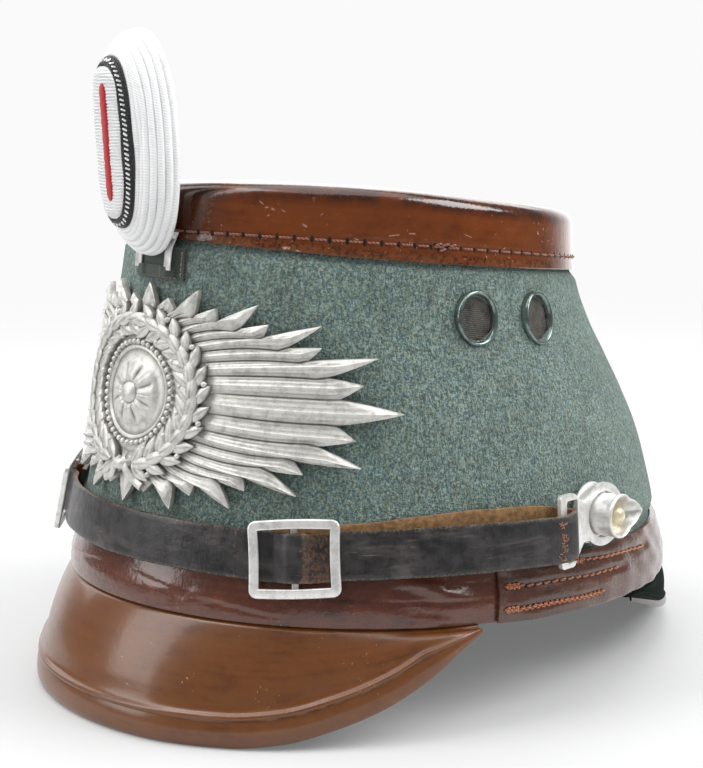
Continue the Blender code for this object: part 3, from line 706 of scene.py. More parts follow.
def gloss_leather(name, dark, base, light, rough, coat, grain=1.0, crease=0.0, scuff=0.5, edge=None):
    """Lacquered leather: mottled colour, fine pores, creases along the path."""
    m = Look(name, Roughness=rough, Coat_Weight=coat, Coat_Roughness=0.07)
    m.shader.inputs["Specular IOR Level"].default_value = 0.42
    cloud = m.noise(0.045, 4.0, 0.6)
    patch = m.noise(0.16, 4.0, 0.62, stretch=(1, 1, 1.7))
    u, v, w = m.split(m.path())
    streak = m.noise(1.0, 3.0, 0.6, m.join(m.times(u, 0.035), m.times(v, 0.42), w))
    mixed = m.add(m.times(cloud, 0.4), m.times(patch, 0.3), m.times(streak, 0.3))
    colour = m.mix(m.span(mixed, 0.34, 0.52), dark, base)
    colour = m.mix(m.span(mixed, 0.52, 0.68), colour, light)
    specks = m.noise(1.3, 2.0, 0.6)
    colour = m.mix(m.times(m.span(specks, 0.66, 0.76), 0.35), colour, dark)
    scratch = m.noise(1.0, 1.0, 0.4, m.turned(m.at, (25, 40, 15), (0.05, 1.7, 0.9)), bend=0.25)
    other = m.noise(1.0, 1.0, 0.4, m.turned(m.at, (-35, 15, 60), (0.07, 1.6, 1.1)), bend=0.25)
    where = m.span(m.noise(0.07, 3.0, 0.6), 0.52, 0.64)
    line = m.times(m.add(m.span(scratch, 0.735, 0.76), m.span(other, 0.745, 0.77)), where)
    colour = m.mix(m.times(line, scuff), colour, srgb(196, 170, 150))
    if edge is not None:
        colour = edge(m, colour, u, v, w)
    m.colour(colour)
    m.rough(m.math("ADD", m.times(m.noise(0.5, 3.0, 0.6), 0.16), rough - 0.06))
    folds = m.noise(1.0, 3.0, 0.55, m.join(m.times(u, 0.06), m.times(v, 0.9), w), bend=0.5)
    orange_peel = m.noise(0.55, 2.0, 0.5)
    pores = m.noise(2.6, 2.0, 0.55)
    heights = [
        m.times(orange_peel, 0.10 * grain),
        m.times(pores, 0.018 * grain),
        m.times(line, -0.03),
    ]
    if crease:
        heights.append(m.times(folds, 0.11 * crease))
    m.bump(*heights, coat=True)
    return m


def metal_look(name, base, dark, rough=0.36, pits=1.0, metallic=1.0, wear=0.5):
    m = Look(name, Metallic=metallic, Roughness=rough)
    cloud = m.noise(0.35, 4.0, 0.65)
    specks = m.noise(1.9, 3.0, 0.6)
    colour = m.mix(m.span(cloud, 0.42, 0.70, 0.0, wear), base, dark)
    colour = m.mix(m.span(specks, 0.60, 0.72, 0.0, 0.75 * wear), colour, dark)
    tone = m.tone()
    colour = m.mix(m.math("MULTIPLY", tone, 1.0, clamp=True), colour, dark)
    m.colour(colour)
    m.rough(m.math("ADD", m.times(m.noise(0.9, 3.0, 0.6), 0.22), rough - 0.10))
    m.bump(m.times(m.noise(1.5, 3.0, 0.6), 0.10 * pits), m.times(m.noise(5.0, 2.0, 0.6), 0.025 * pits))
    return m.material


def thread_look(name, base, dark, twist=1.1, rough=0.7):
    m = Look(name, Roughness=rough, Sheen_Weight=0.3)
    u, v, w = m.split(m.path())
    strand = m.wave(m.add(m.times(u, 1.0 / twist), m.times(v, 0.32)))
    fuzz = m.noise(4.0, 2.0, 0.6)
    colour = m.mix(m.span(strand, 0.05, 0.55), dark, base)
    colour = m.mix(m.span(fuzz, 0.58, 0.75, 0, 0.4), colour, dark)
    m.colour(colour)
    m.bump(m.times(strand, 0.10), m.times(fuzz, 0.05))
    return m.material


def bullion_look(name, low, high):
    """Fine silver wire wound round each ridge."""
    m = Look(name, Roughness=0.5, Metallic=0.12)
    u, v, w = m.split(m.path())
    wire = m.wave(m.add(m.times(u, 1.0 / 0.42), m.times(v, 0.12)))
    darkening = m.noise(0.28, 4.0, 0.6)
    colour = m.mix(m.span(wire, 0.0, 0.45), low, high)
    colour = m.mix(m.span(darkening, 0.56, 0.74, 0.0, 0.35), colour, srgb(190, 189, 184))
    m.colour(colour)
    m.bump(m.times(wire, 0.06), m.times(m.noise(1.8, 2.0, 0.5), 0.04))
    return m.material


def strap_look():
    """Black grain leather outside, tan flesh side inside, brown where rubbed."""
    m = Look("strap leather", Roughness=0.40, Coat_Weight=0.22, Coat_Roughness=0.22)
    u, v, w = m.split(m.path())
    grain = m.noise(0.22, 4.0, 0.6)
    rub = m.noise(0.10, 5.0, 0.68, m.join(u, m.times(v, 1.2), 0.0))
    flecks = m.noise(0.95, 3.0, 0.65, m.join(u, m.times(v, 0.7), 3.0))
    fibre = m.noise(2.2, 2.0, 0.6)
    black = m.mix(m.span(grain, 0.35, 0.65), srgb(22, 20, 20), srgb(42, 39, 40))
    brown = m.mix(m.span(fibre, 0.35, 0.65), srgb(58, 38, 26), srgb(112, 76, 48))
    edge = m.span(m.math("ABSOLUTE", v), 5.2, 6.9)
    worn = m.add(m.times(m.span(rub, 0.52, 0.72), 0.34), m.times(edge, 0.40), m.times(m.span(flecks, 0.62, 0.71), 0.52))
    scrape = m.tone()
    worn = m.math("ADD", worn, m.times(scrape, m.span(flecks, 0.38, 0.55, 0.45, 1.0)), clamp=True)
    worn = m.span(worn, 0.55, 1.05, 0.0, 0.92)
    outer = m.mix(worn, black, brown)
    lines = m.noise(1.0, 2.0, 0.6, m.join(m.times(u, 0.10), m.times(v, 2.4), 4.0), bend=0.3)
    thin = m.times(m.span(lines, 0.66, 0.72), m.span(m.noise(0.12, 3.0, 0.6), 0.45, 0.62))
    outer = m.mix(m.times(thin, 0.55), outer, srgb(138, 130, 126))
    # long greyish streaks along the strap
    grey_streak = m.noise(1.0, 4.0, 0.66, m.join(m.times(u, 0.05), m.times(v, 0.16), 9.0), bend=0.4)
    outer = m.mix(m.times(m.span(grey_streak, 0.48, 0.72), 0.42), outer, srgb(94, 88, 84))
    dots = m.noise(1.3, 3.0, 0.7, m.join(u, m.times(v, 0.6), 6.0))
    foot = m.times(m.span(m.math("ABSOLUTE", v), 5.9, 6.6), m.span(dots, 0.47, 0.58))
    outer = m.mix(m.times(foot, 0.22), outer, srgb(150, 128, 104))
    tan = m.mix(m.span(m.noise(0.5, 4.0, 0.65), 0.35, 0.65), srgb(96, 68, 38), srgb(136, 100, 58))
    tan = m.mix(m.span(fibre, 0.45, 0.8, 0.0, 0.45), tan, srgb(96, 66, 38))
    side = m.math("MULTIPLY", w, 1.0, clamp=True)
    m.colour(m.mix(side, outer, tan))
    m.rough(m.add(m.times(side, 0.35), m.span(grain, 0.3, 0.7, 0.36, 0.46)))
    wrinkle = m.noise(1.0, 3.0, 0.6, m.join(m.times(u, 0.9), m.times(v, 0.10), 1.0), bend=0.4)
    m.bump(m.times(m.noise(1.4, 3.0, 0.6), 0.10), m.times(m.noise(0.16, 3.0, 0.55), 0.5), m.times(wrinkle, 0.10), m.times(worn, -0.06), m.times(fibre, 0.03))
    return m.material


def plain_cloth(name, base, dark, pitch=0.5, rough=0.9):
    m = Look(name, Roughness=rough, Sheen_Weight=0.25)
    x, y, z = m.split(m.at)
    rib = m.wave(m.times(m.add(x, m.times(z, 0.55)), 1 / pitch))
    fuzz = m.noise(2.4, 3.0, 0.65)
    colour = m.mix(m.span(m.add(m.times(rib, 0.4), m.times(fuzz, 0.6)), 0.3, 0.7), dark, base)
    m.colour(colour)
    m.bump(m.times(rib, 0.10), m.times(fuzz, 0.12))
    return m.material


# ------------------------------------------------------------------ pieces
def settle(piece, slot, *nodes):
    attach(piece, "root")
    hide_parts(*nodes)
    return piece


def felt_crown(look):
    angles = np.arange(0, 360, 1.5)
    around = len(angles)
    edge = lid_edge(angles, 1)
    rows = [(4.6, -2.2), (8, -2.2), (11.0, -2.2), (14.5, -2.2), (18.1, -2.2), (19.2, -1.9), (20.6, -0.7), (22.2, -0.15), (24, 0.0)]
    rows += [(h, 0.0) for h in np.arange(26.5, 88.1, 2.2)]
    stations = []
    for a, e in zip(angles, edge):
        hs = [r[0] for r in rows] + list(np.linspace(rows[-1][0], e - 3.2, 5)[1:]) + [e - 2.0, e - 0.9, e + 0.5, e + 4, e + 9]
        outs = [r[1] for r in rows] + [0, 0, 0, -0.15] + [-0.8, -1.55, -1.9, -1.9, -1.9]
        stations.append(np.stack([np.full(len(hs), a), hs, outs], -1))
    grid = np.array(stations)
    t, h = np.radians(grid[..., 0]), grid[..., 1]
    wobble = 0.10 * ripple(np.cos(t) * 2, h / 24 + np.sin(t), 5, 7, 1.2, 4.0)
    wobble += 0.05 * ripple(np.cos(t) * 9, h / 7 + 8 * np.sin(t), 9, 7, 0.8, 2.0)
    free = (grid[..., 2] > -0.2)
    outer = crown(grid[..., 0], grid[..., 1], grid[..., 2] + np.where(free, wobble, 0))
    coarse = [0, 4, 6, 9] + list(range(12, grid.shape[1] - 5, 4)) + [grid.shape[1] - 3, grid.shape[1] - 1]
    inner = crown(grid[:, coarse, 0], grid[:, coarse, 1], grid[:, coarse, 2] - 2.6)
    build = Build()
    sweep(build, np.concatenate([outer, inner[:, ::-1]], 1), True)
    piece = build.make("felt_crown", look)
    cutter = Build()
    for side in (1, -1):
        for which in (0, 1):
            lathe(cutter, vent_frame(side, which), [(0, -9), (6.3, -9), (6.3, 5), (0, 5)], 48)
        lathe(cutter, post_frame(side), [(0, -9), (2.3, -9), (2.3, 3), (0, 3)], 24)
    tool = cutter.make("cutter", look)
    modifier = piece.modifiers.new("holes", "BOOLEAN")
    modifier.operation, modifier.solver, modifier.object = "DIFFERENCE", "EXACT", tool
    apply_modifiers(piece)
    bpy.data.objects.remove(tool, do_unlink=True)
    return piece


def apply_modifiers(piece):
    graph = bpy.context.evaluated_depsgraph_get()
    bpy.context.view_layer.update()
    mesh = bpy.data.meshes.new_from_object(piece.evaluated_get(graph), preserve_all_data_layers=True, depsgraph=graph)
    piece.modifiers.clear()
    old = piece.data
    piece.data = mesh
    mesh.name = piece.name
    bpy.data.meshes.remove(old)


# fraction of the way in to the centre, lift of the raised middle
LID_LIFT = ((0, 0), (0.24, 0.0), (0.31, 0.1), (0.40, 0.85), (0.48, 1.5), (0.58, 1.75), (0.74, 1.9), (1.0, 2.0))


def lid_edge(angle, column):
    """Height of the lid's lower edge (1) or rim (2); the right side has sunk a little."""
    sunk = 2.7 * np.clip(-np.sin(np.radians(angle)), 0, 1) ** 1.5
    return smooth(fold(angle), LID_EDGE, column) - sunk


def lid_cover(look):
    angles = np.arange(0, 360, 1.5)
    low = lid_edge(angles, 1)
    top = lid_edge(angles, 2)
    t = np.radians(angles)
    outer = []
    # leather edge: two rounded corners, then the wall, then the turn over the top
    for h, o in ((0.12, -1.15), (0.0, -0.8), (0.05, -0.3), (0.35, -0.04)):
        outer.append(crown(angles, low + h, o))
    for s in np.linspace(0, 1, 12)[1:]:
        h = low + 0.6 + s * (top - 4.2 - low - 0.6)
        flat = 0.10 * ripple(np.cos(t) * 3, s * 2 + np.sin(t) * 3, 3, 5, 0.8, 2.0)
        groove = -0.22 * np.exp(-(((h - low - stitch_rise(angles)) / 0.9) ** 2))
        outer.append(crown(angles, h, flat * np.sin(np.pi * s) + groove + 0.06 * np.sin(np.pi * s)))
    for s in np.linspace(0, 1, 13)[1:]:
        a = s * np.pi / 2
        outer.append(crown(angles, top - 4.2 * (1 - np.sin(a)), -4.6 * (1 - np.cos(a))))
    outer = np.array(outer)
    rim = outer[-1]
    centre = rim.mean(0)
    for f in (0.04, 0.09, 0.15, 0.20, 0.24, 0.27, 0.30, 0.33, 0.36, 0.39, 0.42, 0.45, 0.48, 0.52, 0.57, 0.64, 0.74, 0.86, 0.94, 0.98):
        ring = rim * (1 - f) + centre * f
        ring[:, 2] += float(smooth(f, LID_LIFT, 1)) - 0.15 * math.sin(math.pi * min(1, f / 0.3)) + 0.05 * ripple(ring[:, 0] / 14, ring[:, 1] / 14, 21, 5, 0.6, 1.6)
        outer = np.concatenate([outer, ring[None]])
    inner = []
    for s in (0.0, 0.5, 1.0):
        inner.append(crown(angles, low + 0.12 + s * (top - 4.6 - low), -1.4))
    for d, o in ((2.9, -1.95), (2.0, -2.9), (1.4, -4.4)):
        inner.append(crown(angles, top - d, o))
    base = inner[-1]
    middle = base.mean(0)
    for f in (0.30, 0.36, 0.42, 0.48, 0.60, 0.80, 0.98):
        ring = base * (1 - f) + middle * f
        ring[:, 2] += float(smooth(f, LID_LIFT, 1)) * 0.97
        inner.append(ring)
    build = Build()
    rings = np.concatenate([outer, np.array(inner)[::-1]])
    n, m = rings.shape[:2]
    quads, place = sheet_quads(n, m, True, True)
    # the two middles stay apart: the quads between them are dropped and capped
    keep = quads[:, 0] // m != len(outer) - 1
    along = np.concatenate([lengths(rings[:, 0]), [0]])
    arc = np.concatenate([lengths(rim), [0]])
    arc[-1] = arc[-2] + np.linalg.norm(rim[0] - rim[-1])
    coords = np.stack([arc[place[..., 1]], along[place[..., 0]], np.zeros(place.shape[:2])], -1)
    caps = [([(len(outer) - 1) * m + j for j in range(m)], 0), ([len(outer) * m + j for j in range(m - 1, -1, -1)], 0)]
    build.add(rings.reshape(-1, 3), quads[keep], coords[keep], 0, 0.0, caps)
    return build.make("lid_cover", look)


def stitch_rise(angle):
    """Height of the lid's stitch row over the band's lower edge."""
    return np.interp(fold(angle), (0, 7, 36, 60, 69, 90, 124, 180), (2.4, 2.5, 3.8, 4.7, 4.8, 4.6, 4.0, 3.8))


def lens(build, at, wide, high, deep, steps=10, slots=0):
    """Small dark pit or fleck: a flat closed lens on a surface."""
    turn = np.linspace(0, 2 * np.pi, steps, endpoint=False)
    rings = []
    for f, z in ((0.02, -deep), (0.7, -deep * 0.7), (1.0, 0.0), (0.7, deep * 0.7), (0.02, deep)):
        rings.append(np.stack([wide * f * np.cos(turn), high * f * np.sin(turn), np.full(steps, z)], -1))
    sweep(build, local(at, np.array(rings)), False, slots)


def surface_frame(angle, high, out):
    """Frame on the wall: across, up along the wall, and its normal."""
    p = crown(angle, high, out)
    n = crown_normal(angle, high, out)
    across = crown(angle + 0.3, high, out) - crown(angle - 0.3, high, out)
    across /= np.linalg.norm(across)
    return p, across, np.cross(n, across), n


def stitches(build, holes, spots, pitch, duty, radius, lift=0.75, jitter=0.0, seed=1, diagonal=0.0, skip=(), hole_high=0.66):
    """Running stitches along (angle, high, out) spots, with awl holes between."""
    rng = np.random.default_rng(seed)
    spots = np.asarray(spots, float)
    line = crown(spots[:, 0], spots[:, 1], spots[:, 2])
    run = lengths(line)
    count = int(run[-1] / pitch)
    for k in range(count):
        middle = (k + 0.5) * pitch
        half = pitch * duty / 2 * (1 + jitter * rng.uniform(-1, 1))
        share = np.linspace(-1, 1, 9)
        s = middle + share * half
        spot = np.stack([np.interp(s, run, spots[:, c]) for c in range(3)], -1)
        p = crown(spot[:, 0], spot[:, 1], spot[:, 2])
        n = crown_normal(spot[:, 0], spot[:, 1], spot[:, 2])
        up = np.array([0, 0, 1.0])
        rise = radius * (lift * (1 - share**6) - 0.9 * share**6) + radius * 0.15
        p = p + n * rise[:, None] + up * (diagonal * share + jitter * radius * rng.uniform(-1, 1) * (1 - share**2))[:, None]
        if k not in skip:
            tube(build, p, radius * (1 - 0.25 * share**4), 7, up=n)
        if holes is not None:
            s = k * pitch
            spot = [float(np.interp(s, run, spots[:, c])) for c in range(3)]
            lens(holes, surface_frame(spot[0], spot[1], spot[2] + 0.02), 0.46 + 0.1 * rng.uniform(), hole_high * (0.9 + 0.25 * rng.uniform()), 0.14, 9, 1)


def lid_stitching(thread, hole):
    build = Build()
    angles = np.linspace(-178, 178, 713)
    low = lid_edge(angles, 1)
    rise = stitch_rise(angles)
    spots = np.stack([angles, low + rise, np.full(len(angles), -0.14)], -1)
    stitches(build, build, spots, 4.9, 0.74, 0.33, 0.8, 0.10, 4, hole_high=1.3)
    # a short doubled run where the thread starts and ends
    for offset, low_end, high_end in ((0.75, 70.5, 76.0), (-0.7, 71.5, 75.0)):
        a = np.linspace(low_end, high_end, 30)
        spots = np.stack([a, smooth(a, LID_EDGE, 1) + stitch_rise(a) + offset, np.full(30, -0.02)], -1)
        stitches(build, build, spots, 2.3, 0.86, 0.36, 0.9, 0.25, 6, 0.35)
    return build.make("lid_stitching", [thread, hole])


def wrinkles(angle, high):
    """Height of the creases in the front band, in millimetres."""
    angle, high = np.asarray(angle, float), np.asarray(high, float)
    a = fold(angle)
    field = ripple(a / 3.4 + high * 0.22, high / 3.8, 17, 7, 0.8, 2.6)
    fold_over = np.sin(high / 1.9 + a / 4.2 + 1.3 * np.sin(a / 5.1)) * np.exp(-(((a - 66) / 7.0) ** 2))
    near_end = np.exp(-(((a - 64) / 8.5) ** 2)) * 0.50
    middle = np.exp(-(((angle - 19) / 8.0) ** 2)) * 0.26 + np.exp(-(((angle + 24) / 9.0) ** 2)) * 0.15
    other = ripple(a / 2.2 - high * 0.30, high / 4.0, 31, 6, 0.7, 2.0)
    line = 0.0
    for h0, slope, start, end, deep in ((8.4, -0.19, 6, 31, 0.34), (5.6, -0.15, 14, 36, 0.28), (10.6, 0.05, 18, 34, 0.20), (7.6, -0.03, 52, 77, 0.34), (10.9, 0.05, 55, 74, 0.24)):
        at_line = high - (h0 + slope * (a - start))
        inside = ease(a, start - 3, start + 3) * (1 - ease(a, end - 3, end + 3))
        line = line - deep * inside * (np.exp(-((at_line / 0.38) ** 2)) - 0.6 * np.exp(-(((at_line - 1.0) / 0.8) ** 2)))
    return field * near_end * 1.25 + 0.40 * fold_over + other * middle * 0.5 + 0.62 * line + 0.04 * ripple(a / 6, high / 5, 8, 5, 0.7, 2.0)


def front_band(look):
    spots = np.linspace(-79.8, 79.8, 321)
    rows = ((0, -0.30, -1.70), (62.5, -0.30, -1.70), (69.8, -1.05, -1.72), (79.8, -1.15, -1.72))
    outer = np.interp(np.abs(spots), [r[0] for r in rows], [r[1] for r in rows])
    inner = np.interp(np.abs(spots), [r[0] for r in rows], [r[2] for r in rows])
    hs = np.concatenate([[0.05, 0.25, 0.6], np.linspace(1.2, 15.0, 24), [15.5, 15.9]])
    face = []
    for h in hs:
        swell = 0.28 * math.sin(math.pi * min(1, h / 16.0)) + 0.0
        turn = -0.30 * math.exp(-h / 0.35) - 0.25 * math.exp(-(16.2 - h) / 0.35)
        bulge = np.where(np.abs(spots) < 63, 1.0, np.clip((79 - np.abs(spots)) / 16, 0, 1))
        dent = np.clip(wrinkles(spots, h), -0.9, 0.75) * min(1, h / 1.5)
        face.append(crown(spots, h, np.maximum(outer + (swell + dent) * bulge + turn, inner + 0.2)))
    back = [crown(spots, h, inner) for h in (15.9, 8.0, 0.15)]
    stations = np.array(face + back).transpose(1, 0, 2)
    build = Build()
    sweep(build, stations, False)
    return build.make("front_band_leather", look)


# rows of the rear band: start angle, start height, end angle, end height, pitch, duty, radius
REAR_ROWS = (
    (89.8, 14.6, 115.5, 12.5, 3.1, 0.80, 0.36),
    (75.0, 10.3, 104.1, 9.5, 3.3, 0.72, 0.34),
    (74.8, 3.8, 98.0, 4.0, 2.15, 1.02, 0.42),
)


def rear_rows(side_angle, high):
    """Dips of the rear band's surface along its stitch rows."""
    dip = 0.0
    for start, h0, end, h1, *_ in REAR_ROWS:
        h = np.interp(side_angle, (start, end), (h0, h1))
        inside = ease(side_angle, start - 2, start + 1) * (1 - ease(side_angle, end - 1, end + 2))
        dip = dip - 0.30 * inside * np.exp(-(((high - h) / 1.1) ** 2))
    return dip


def rear_face(angle, high):
    """Offset of the rear band's outer face."""
    side = fold(angle)
    rows = ((73.5, 0.35), (81.2, 0.35), (85, 0.1), (91, 0.0), (180, 0.0))
    flat = np.interp(side, [r[0] for r in rows], [r[1] for r in rows])
    a = np.asarray(side, float)
    field = ripple(a / 5.0, high / 3.2, 41, 7, 0.8, 2.4)
    creases = ripple(a / 1.9 + high * 0.2, high / 6.5, 47, 6, 0.8, 2.0)
    strong = 0.09 + 0.15 * np.exp(-(((a - 108) / 14) ** 2)) + 0.08 * np.exp(-(((a - 77) / 5) ** 2))
    return flat + rear_rows(side, high) + field * 0.12 + creases * strong


def rear_band(look):
    spots = np.concatenate([np.linspace(73.5, 130, 182), np.linspace(130, 230, 120)[1:-1], np.linspace(230, 286.5, 182)])
    hs = np.concatenate([[0.05, 0.3, 0.7], np.linspace(1.3, 16.3, 32), [16.9, 17.3]])
    side = fold(spots)
    inner_rows = ((73.5, -0.70), (81.2, -0.70), (85, -1.5), (91, -1.7), (180, -1.7))
    inner = np.interp(side, [r[0] for r in inner_rows], [r[1] for r in inner_rows])
    ends = np.minimum(np.abs(spots - 73.5), np.abs(spots - 286.5))
    face = []
    for h in hs:
        swell = 0.22 * math.sin(math.pi * min(1, h / 17.5))
        turn = -0.45 * math.exp(-h / 0.35) - 0.45 * math.exp(-(17.5 - h) / 0.4) - 0.25 * np.exp(-ends / 0.3)
        lift = 0.12 * ripple(side / 9, np.full_like(side, 0.3), 51, 5, 0.8, 2.2)
        z = h + lift * (h < 3)
        face.append(crown(spots, z, np.maximum(rear_face(spots, h) + swell + turn, inner + 0.25)))
    back = [crown(spots, h, inner) for h in (17.2, 8.0, 0.15)]
    stations = np.array(face + back).transpose(1, 0, 2)
    build = Build()
    sweep(build, stations, False)
    return build.make("rear_band_leather", look)


def rear_stitching(thread, hole):
    build = Build()
    for side in (1, -1):
        for k, (start, h0, end, h1, pitch, duty, radius) in enumerate(REAR_ROWS):
            a = np.linspace(start, end, 160)
            h = np.interp(a, (start, end), (h0, h1)) + 0.12 * np.sin(a / 2.3 + k)
            out = rear_face(a, h) + 0.22 * np.sin(np.pi * np.clip(h / 17.5, 0, 1)) + 0.02
            spots = np.stack([a * side, h, out], -1)
            stitches(build, build if k != 2 else None, spots, pitch, duty, radius, 0.95, 0.10, 10 + k, 0.22 if k != 2 else 0.5)
            if k == 2:
                spots[:, 1] += 0.15
                stitches(build, None, spots[40:], 1.6, 0.8, 0.22, 1.5, 0.2, 60, -0.4)
            # a thick locked start
            a = np.linspace(start - 0.3, start + 2.6, 20)
            for lift in (0.35, -0.35):
                h = np.interp(a, (start, end), (h0, h1)) + lift
                out = rear_face(a, h) + 0.22 * np.sin(np.pi * np.clip(h / 17.5, 0, 1)) + 0.10
                stitches(build, None, np.stack([a * side, h, out], -1), 1.5, 1.1, 0.42, 1.0, 0.2, 20 + k, 0.4 * np.sign(lift))
    return build.make("rear_stitching", [thread, hole])


def peak_loop(angle, out, low, bead, thick, flange):
    """Section of a peak as (off, z) pairs: outer face first, then the inner."""
    base = float(base_z(angle))
    depth = base - low
    bead = min(bead, 0.62 * depth)
    k = bead / 9.4
    top = base - 1.0
    crest = low + bead
    outer = [(-2.35, base + flange), (-2.35, base + 0.6), (-1.5, base - 0.45), (-0.4, top - 0.2)]
    for f in (0.2, 0.4, 0.6, 0.8):
        bulge = 1.1 * 4 * f * (1 - f) * min(1, depth / 25)
        outer.append((-0.4 + f * (out - 2.6 * k + 0.4) + bulge, top + f * (crest + 2.3 * k - top)))
    outer += [
        (out - 2.15 * k, crest + 1.35 * k),
        (out - 1.55 * k, crest + 0.65 * k),
        (out - 0.95 * k, crest + 0.30 * k),
        (out - 0.55 * k, crest - 0.20 * k),
        (out - 0.62 * k, crest - 0.85 * k),
        (out - 1.00 * k, crest - 1.25 * k),
        (out - 0.80 * k, crest - 1.80 * k),
        (out - 0.38 * k, low + 0.68 * bead),
        (out - 0.02 * k, low + 0.50 * bead),
        (out + 0.04 * k, low + 0.34 * bead),
        (out - 0.16 * k, low + 0.19 * bead),
        (out - 0.75 * k, low + 0.06 * bead),
        (out - 1.6 * k, low),
    ]
    inner = [
        (out - 2.9 * k, low),
        (out - 3.6 * k, low + 0.08 * bead),
        (out - 3.95 * k - 0.1, low + 0.35 * bead),
        (out - 4.0 * k - 0.3, low + 0.8 * bead),
    ]
    for f in (0.72, 0.38):
        bulge = 0.9 * 4 * f * (1 - f) * min(1, depth / 25)
        inner.append((-2.9 + f * (out - 4.3 * k + 2.4) + bulge, top - 0.6 + f * (crest + 0.8 * k - top)))
    inner += [(-3.1, base - 1.4), (-2.35 - thick, base + 0.6), (-2.35 - thick, base + flange)]
    return outer, inner


def peak(name, table, middle, thick, bead, flange, step, looks, rim=None):
    ends = table[-1][0]
    count = int(2 * ends / step) + 1
    spots = np.linspace(-ends, ends, count)
    stations, extra = [], []
    for a in spots:
        out, low = (float(smooth(abs(a), table, c)) for c in (1, 2))
        outer, inner = peak_loop(middle + a, out, low, bead, thick, flange)
        outer, inner = spline(outer, 84), spline(inner, 30)
        loop = np.concatenate([outer, inner])
        off, z = loop[:, 0], loop[:, 1]
        angle = middle + a
        high = z - base_z(angle, off)
        stations.append(crown(np.full(len(loop), angle), high, off))
    build = Build()
    slots = np.array([0] * 83 + [1] * 31)
    if rim is not None:
        slots[rim:86] = 2
    sweep(build, np.array(stations), False, slots)
    return build.make(name, looks)


def side_path(side):
    """Half of the strap's middle line: position, outward direction, up."""

    def on(angle, out, high):
        p = crown(angle * side, high, out)
        d = crown(angle * side, high, out + 1) - p
        d[2] = 0
        return p, d / np.linalg.norm(d)

    def leaning(p, d, angle):
        a = math.radians(float(smooth(angle, STRAP_LEAN, 1)))
        return p, d, np.array([0, 0, math.cos(a)]) - d * math.sin(a)

    half = STRAP_THICK / 2
    rows = []
    for angle in (0, 8, 16, 23, 29.8):
        rows.append(leaning(*on(angle, float(smooth(angle, STRAP_OUTER, 1)) + half, float(smooth(angle, STRAP_OUTER, 2))), angle))
    at = buckle_frame(side)
    for x, lift in ((-6.5, -2.5), (-4.0, -1.2), (-2.0, 0.55), (0.0, 0.75), (2.0, 0.55), (4.0, -1.2), (6.5, -2.5)):
        rows.append((local(at, [x * side, 0.2, lift]), at[3], at[2]))
    for angle in (46, 52, 58, 64, 69, 74, 79, 84.5):
        rows.append(leaning(*on(angle, float(smooth(angle, STRAP_OUTER, 1)) + half, float(smooth(angle, STRAP_OUTER, 2))), angle))
    end, outward = on(85, 0.0, 24.6)
    up = leaning(end, outward, 85)[2]
    forward = np.cross([0, 0, 1.0], outward) * side
    low, high = 2.1 + half, 7.4 + half
    centre, radius = (low + high) / 2, (high - low) / 2
    for turn in (65, 40, 15, -15, -40, -65):
        a = math.radians(turn)
        p = end + outward * (centre + radius * math.sin(a)) + forward * (1.75 + radius * math.cos(a))
        d = outward * math.sin(a) + forward * math.cos(a)
        rows.append((p, d / np.linalg.norm(d), up))
    for angle in (83, 79, 74, 69, 63, 57, 51, 45, 39, 33.5):
        p, d, up = leaning(*on(angle, float(smooth(angle, STRAP_INNER, 1)) + half, float(smooth(angle, STRAP_INNER, 2))), angle)
        rows.append((p, -d, up))
    return rows


def strap_line():
    right, left = side_path(-1), side_path(1)
    rows = right[::-1] + left[1:]
    data = np.array([np.concatenate(r) for r in rows])
    fine = spline(data, 620)
    p, d, up = fine[:, :3], fine[:, 3:6], fine[:, 6:9]
    along = np.gradient(p, axis=0)
    along /= np.linalg.norm(along, axis=1, keepdims=True)
    up /= np.linalg.norm(up, axis=1, keepdims=True)
    normal = np.cross(along, up)
    normal /= np.linalg.norm(normal, axis=1, keepdims=True)
    flip = np.sign(np.einsum("ij,ij->i", normal, d))
    normal *= np.where(flip == 0, 1, flip)[:, None]
    return p, normal, up


